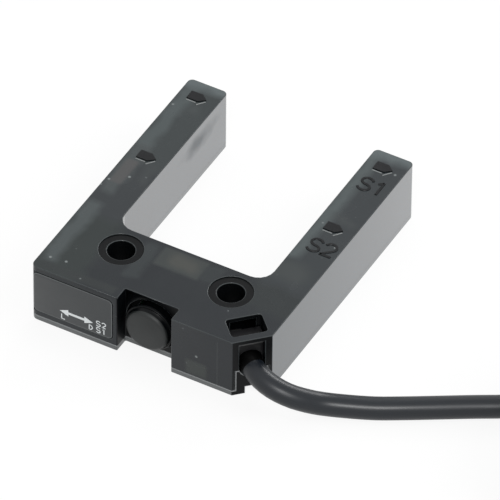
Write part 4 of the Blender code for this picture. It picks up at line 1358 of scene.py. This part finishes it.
@dataclass
class Cable:
    """The round cable: laid from the clamp to the coil that holds its unseen length."""

    diameter: float = 3.5
    length: float = 1970.0
    exit_height: float = 5.2
    chamfer_leg: float = 4.3
    inner_reach: float = 5.0
    shaded: float = 0.5
    coil_centre: Pair = (103.3, 18.1)
    coil_middle: float = 42.0
    coil_columns: int = 4
    coil_levels: int = 4
    coil_bottom: float = 0.8
    entry_angle: float = 164.3
    crossing: float = 60.0
    sides: int = 20
    step: float = 1.1
    core_radius: float = 0.5
    core_offset: float = 0.75
    core_circle: float = 13.2
    core_pitch: float = 1.3
    core_height: float = 0.5
    core_sweep: Pair = (4.0, -124.0)
    core_settled: float = 0.35
    core_points: int = 60
    stripped: int = 52
    tip_radius: float = 0.27
    tie_play: float = 0.6
    tie_thickness: float = 0.5
    tie_corner: float = 1.2
    tie_width: float = 3.0
    tie_edge: float = 0.12
    head_size: Pair = (4.4, 4.0)
    head_corner: float = 0.5
    head_layers: tuple[Pair, ...] = ((1.0, 0.3), (1.0, 2.0), (0.93, 2.3))

    def laid(self) -> np.ndarray:
        """Centre line from the clamp to the coil.

        Returns:
            Array (n, 3) of points for a smooth curve: three in the channel, those listed, and
            the coil's first.
        """
        middle = np.array((BODY_WIDTH - self.chamfer_leg / 2, self.chamfer_leg / 2, self.exit_height))
        inwards = np.array((-math.sqrt(0.5), math.sqrt(0.5), 0.0))
        start = [middle + inwards * self.inner_reach * share for share in (1.0, 0.5, 0.0)]
        floor = self.diameter / 2
        points = [
            (37.73, 1.03, 4.96),
            (39.82, 0.50, 4.54),
            (41.99, 0.60, 3.95),
            (44.16, 1.35, 3.21),
            (47.21, 3.24, 2.07),
            (52.97, 5.96, floor),
            (57.30, 8.36, floor),
            (65.70, 13.49, floor),
            (69.60, 15.80, floor),
            (71.90, 17.45, floor),
            (74.00, 19.22, floor),
            (76.45, 21.90, floor + 0.25),
        ]
        return np.array([*start, *(np.array(point) for point in points), self.wound(np.zeros(1))[0]])

    def per_column(self) -> float:
        """Degrees that a column of the coil takes: its turns less the crossings that it saves."""
        return self.coil_levels * FULL_TURN - 2 * self.crossing

    def wound(self, turned: np.ndarray) -> np.ndarray:
        """Points of the coil by the angle turned through, clockwise from where the cable enters it.

        Each turn is level and round, and moves by one diameter within a short crossing: up or down
        to the next level, or, after the last level of a column, inwards to the next column. Each
        column's crossings start one crossing earlier than those of the column outside it.

        Args:
            turned: Angles in degrees.

        Returns:
            Array (n, 3) in millimetres.
        """
        column = np.zeros_like(turned)
        level = np.zeros_like(turned)
        per_column = self.per_column()
        for index in range(self.coil_columns):
            direction = 1.0 if index % 2 == 0 else -1.0
            for turn in range(1, self.coil_levels):
                start = index * per_column + FULL_TURN * turn - self.crossing
                level = level + direction * smoothstep((turned - start) / self.crossing)
            if index < self.coil_columns - 1:
                column = column + smoothstep((turned - (index + 1) * per_column) / self.crossing)
        outer = (self.coil_middle + (self.coil_columns - 1) * self.diameter) / 2
        radius = outer - column * self.diameter
        angle = np.radians(self.entry_angle - turned)
        height = self.coil_bottom + self.diameter / 2 + level * self.diameter
        x = self.coil_centre[0] + radius * np.cos(angle)
        y = self.coil_centre[1] + radius * np.sin(angle)
        return np.stack([x, y, height], axis=1)

    def centre_line(self) -> np.ndarray:
        """The whole sheath's centre line, evenly spaced and cut at its real length.

        Returns:
            Array (n, 3) in millimetres.
        """
        turns = self.coil_columns * self.per_column() + self.crossing
        coil = self.wound(np.arange(4.0, turns, 4.0))
        return evenly(np.concatenate([through(self.laid(), 10), coil]), self.step, self.length)

    def build(self) -> None:
        line = self.centre_line()
        rings = swept(line, circle(self.sides) * self.diameter / 2)
        sheath = lofted("cable_sheath", rings, PIECES.finish(SHEATH), self.step * MM)
        # Painted shade: the rows of the sheath inside the channel and just past it take the near-black
        # colour.
        sheath.data.materials.append(PIECES.finish(SHEATH_SHADE))
        row = np.arange(len(sheath.data.polygons)) // self.sides
        in_painted_shade = (row < (self.inner_reach + self.shaded) / self.step).astype(np.int32)
        sheath.data.polygons.foreach_set("material_index", in_painted_shade)
        PIECES.seat(sheath, "body", "cable_sheath", "cable", "cable_coil")
        pieces = [*self.cores(line), self.tie()]
        middle = (BODY_WIDTH - self.chamfer_leg / 2, self.chamfer_leg / 2, self.exit_height)
        tuple(to_frame(np.array([middle]))[0])
        to_frame(line).tolist()

    def cores(self, line: np.ndarray) -> list[Piece]:
        """The three cores that leave the sheath's end, with their bare tinned tips.

        Each core starts at its place in the sheath, eases down to the floor and inwards to its own
        circle about the coil's centre, and stays there.

        Args:
            line: The sheath's centre line.

        Returns:
            The new pieces.
        """
        centre = np.array(self.coil_centre)
        end = line[-1]
        start_angle = math.degrees(math.atan2(end[1] - centre[1], end[0] - centre[0]))
        start_radius = float(np.linalg.norm(end[:2] - centre))
        share = np.linspace(0.0, 1.0, self.core_points)
        eased = smoothstep(share / self.core_settled)
        first, last = self.core_sweep
        angle = np.radians(start_angle + first + (last - first) * share)
        made = []
        for index, (name, finish) in enumerate(CORES.items()):
            offset = math.radians(90 + 120 * index)
            own_radius = self.core_circle - self.core_pitch * index
            first_radius = start_radius + self.core_offset * math.cos(offset)
            first_height = end[2] + self.core_offset * math.sin(offset)
            radius = first_radius * (1 - eased) + own_radius * eased
            height = first_height * (1 - eased) + self.core_height * eased
            x, y = centre[0] + radius * np.cos(angle), centre[1] + radius * np.sin(angle)
            path = np.stack([x, y, height], axis=1)
            rings = swept(path[: self.stripped + 1], circle(12) * self.core_radius)
            core = lofted(f"core_{name}", rings, PIECES.finish(finish), MM)
            PIECES.seat(core, "body", f"core_{name}", f"lead_end_{name}")
            rings = swept(path[self.stripped - 2 :], circle(10) * self.tip_radius)
            tip = lofted(f"bare_tip_{name}", rings, PIECES.finish(COPPER))
            PIECES.seat(tip, "body", "tin")
            made += [core, tip]
        return made

    def tie(self) -> Piece:
        """The nylon tie round the coil: a flat band on a rounded square, with its locking head.

        Returns:
            The tie.
        """
        size = self.coil_columns * self.diameter
        inside = size + self.tie_play
        outside = inside + self.tie_thickness
        outline = rounded_rectangle(outside, outside, self.tie_corner, 10)
        line = np.stack(
            [
                np.full(len(outline), self.coil_centre[0]),
                self.coil_centre[1] + self.coil_middle / 2 + outline[:, 0],
                self.coil_bottom + size / 2 + outline[:, 1],
            ],
            axis=1,
        )
        ahead = unit(np.roll(line, -1, axis=0) - np.roll(line, 1, axis=0))
        across = np.array((1.0, 0.0, 0.0))
        outward = np.cross(ahead, across)
        band = rounded_rectangle(self.tie_width, self.tie_thickness, self.tie_edge, 3)
        rings = line[:, None, :] + band[None, :, 0:1] * across + band[None, :, 1:2] * outward[:, None, :]
        rows, columns = rings.shape[:2]
        quads, _ = grid_faces(rows + 1, columns, True)
        faces = (quads % (rows * columns)).tolist()
        head_outline = rounded_rectangle(*self.head_size, self.head_corner, 5)
        middle = np.array((self.coil_centre[0], self.coil_bottom + size / 2))
        flat = np.stack([head_outline * scale + middle for scale, _ in self.head_layers])
        outs = self.coil_centre[1] + (self.coil_middle - inside) / 2 - np.array(self.head_layers)[:, 1:]
        head = np.stack([flat[..., 0], np.broadcast_to(outs, flat.shape[:2]), flat[..., 1]], axis=2)
        around = len(head_outline)
        head_quads, _ = grid_faces(len(head), around, True)
        start = rows * columns
        caps = [list(range(first, first + around)) for first in (start, start + 2 * around)]
        points = np.concatenate([rings.reshape(-1, 3), head.reshape(-1, 3)])
        faces += (head_quads + start).tolist() + caps
        tie = make_object("cable_tie", points, faces, PIECES.finish(TIE))
        return PIECES.seat(tie, "body", "black_nylon", "coil_tie")


@dataclass
class Inside:
    """The boards, optics and switches inside the housing, which stay as their solids."""

    def build(self) -> None:
        """Give each solid inside its finish."""
        finishes = {
            BOARD: ("main_board", "emitter_board", "receiver_board"),
            CHIP: ("control_ic", "voltage_regulator", "output_transistor", "protection_diode"),
            TANTALUM: ("bypass_capacitor",),
            TIN: ("clock_crystal",),
            AMBER: ("indicator_led_s1", "indicator_led_s2"),
            CLEAR: ("indicator_light_guide",),
            SLIDER: ("mode_slider_s1", "mode_slider_s2"),
            LENS: tuple(f"{role}_lens_{number}" for role in ("emitter", "receiver") for number in (1, 2)),
            EPOXY: ("emitter_led_1", "emitter_led_2", "receiver_photodiode_1", "receiver_photodiode_2"),
            NYLON: (
                "mode_switch_body",
                "cable_clamp",
                "emitter_lens_holder",
                "receiver_lens_holder",
                "emitter_link",
                "receiver_link",
            ),
        }
        for finish, nodes in finishes.items():
            for node in nodes:
                PIECES.dress(node, finish)
        for colour in CORES:
            wire = Moulding(f"wire_{colour}", CORES[colour].colour, CORES[colour].colour, 0.4)
            PIECES.dress(f"inner_wire_{colour}", wire)


def seen_directly(tree: bpy.types.NodeTree) -> Socket:
    """One for rays of the camera, of reflections and through clear plastics, else nothing.

    Args:
        tree: Node tree that gets the test.

    Returns:
        The highest of the three kinds of ray.
    """
    path = tree.nodes.new("ShaderNodeLightPath")
    seen = path.outputs["Is Camera Ray"]
    for kind in ("Is Glossy Ray", "Is Transmission Ray"):
        either = tree.nodes.new("ShaderNodeMath")
        either.operation = "MAXIMUM"
        tree.links.new(seen, either.inputs[0])
        tree.links.new(path.outputs[kind], either.inputs[1])
        seen = either.outputs[0]
    return seen


@dataclass
class Studio:
    """Pale floor, soft lamps and the camera at the photograph's angle."""

    azimuth: float = 28.878
    elevation: float = 42.629
    roll: float = 0.587
    distance: float = 1420.05
    focal_pixels: float = 9673.7
    picture_pixels: float = 500.0
    sensor: float = 36.0
    target: Triple = (23.327, 23.851, 5.0)
    floor_colour: Triple = (0.86, 0.86, 0.86)
    floor_shade: float = 0.12
    floor_reach: float = 3000.0
    sky_light: float = 0.50

    def camera(self) -> None:
        """Aim the camera: back from the target by azimuth and elevation, then rolled."""
        side, tall = math.radians(self.azimuth), math.radians(self.elevation)
        ahead = Vector((-math.sin(side) * math.cos(tall), math.cos(side) * math.cos(tall), -math.sin(tall)))
        level_right = ahead.cross(Vector((0, 0, 1))).normalized()
        right = Matrix.Rotation(-math.radians(self.roll), 3, ahead) @ level_right
        upwards = right.cross(ahead)
        data = bpy.data.cameras.new("camera")
        data.sensor_width = self.sensor
        data.lens = self.sensor * self.focal_pixels / self.picture_pixels
        data.clip_start = 0.05
        data.clip_end = 20.0
        camera = linked("camera", data)
        target = Vector(to_frame(np.array([self.target]))[0])
        turn = Matrix((right, upwards, -ahead)).transposed().to_4x4()
        camera.matrix_world = Matrix.Translation(target - ahead * self.distance * MM) @ turn
        bpy.context.scene.camera = camera

    def floor(self) -> None:
        """Lay a pale floor that shows the camera most of its own white and some of the shadow."""
        nodes = Nodes("floor")
        tree = nodes.tree
        tree.nodes.remove(nodes.shader)
        lit = nodes.add("BsdfDiffuse")
        lit.inputs["Color"].default_value = (*self.floor_colour, 1.0)
        plain = nodes.add("Emission")
        plain.inputs["Color"].default_value = (1.0, 1.0, 1.0, 1.0)
        seen = nodes.math("MULTIPLY", seen_directly(tree), 1 - self.floor_shade)
        mix = nodes.add("MixShader")
        nodes.feed(mix.inputs["Fac"], seen)
        nodes.feed(mix.inputs[1], lit.outputs["BSDF"])
        nodes.feed(mix.inputs[2], plain.outputs["Emission"])
        nodes.feed(tree.nodes["Material Output"].inputs["Surface"], mix.outputs["Shader"])
        reach = self.floor_reach
        points = np.array([(-reach, -reach), (reach, -reach), (reach, reach), (-reach, reach)], float)
        mesh = bpy.data.meshes.new("floor")
        places = to_frame(np.concatenate([points, np.full((4, 1), -0.02)], axis=1))
        mesh.from_pydata(places.tolist(), [], [[0, 1, 2, 3]])
        mesh.materials.append(nodes.material)
        floor = linked("floor", mesh)

    def world(self) -> None:
        """Surround the object with white where the camera or a reflection sees it, and dim light."""
        world = bpy.data.worlds.new("studio")
        bpy.context.scene.world = world
        world.use_nodes = True
        tree = world.node_tree
        ground = tree.nodes["Background"]
        ground.inputs["Color"].default_value = (1.0, 1.0, 1.0, 1.0)
        strength = tree.nodes.new("ShaderNodeMapRange")
        strength.inputs["To Min"].default_value = self.sky_light
        strength.inputs["To Max"].default_value = 1.0
        tree.links.new(seen_directly(tree), strength.inputs["Value"])
        tree.links.new(strength.outputs["Result"], ground.inputs["Strength"])

    def lamp(self, name: str, place: Triple, size: float, watts: float, mirrored: bool = False) -> None:
        """Hang a square soft lamp that faces the body.

        Args:
            name: Name of the lamp.
            place: Its place in metres.
            size: Its side in metres.
            watts: Its power.
            mirrored: Whether glossy surfaces show it.
        """
        data = bpy.data.lights.new(name, "AREA")
        data.shape = "SQUARE"
        data.size = size
        data.energy = watts
        thing = linked(name, data)
        thing.visible_glossy = mirrored
        thing.location = place
        thing.rotation_mode = "QUATERNION"
        thing.rotation_quaternion = (-Vector(place)).to_track_quat("-Z", "Y")

    def build(self) -> None:
        """Set the view and make the stage."""
        bpy.context.scene.view_settings.view_transform = "Standard"
        self.camera()
        self.floor()
        self.world()
        self.lamp("key_right", (0.75, 0.25, 0.70), 0.6, 4.5)
        self.lamp("top_back", (-0.25, 0.55, 0.90), 0.7, 2.0)
        self.lamp("soft_front", (0.32, -0.70, 0.84), 0.28, 5.0, mirrored=True)
        self.lamp("soft_back", (-0.02, 0.93, 0.65), 0.34, 2.8, mirrored=True)
        LOG.info("set the stage")


def main() -> None:
    """Build the sub-assemblies in order."""
    logging.basicConfig(level=logging.INFO, format="%(message)s")
    for assembly in (Studio(), Cable(), Shell(), ArmMarks(), Label(), SelectorCap(), Inside()):
        assembly.build()


if __name__ == "__main__":
    main()
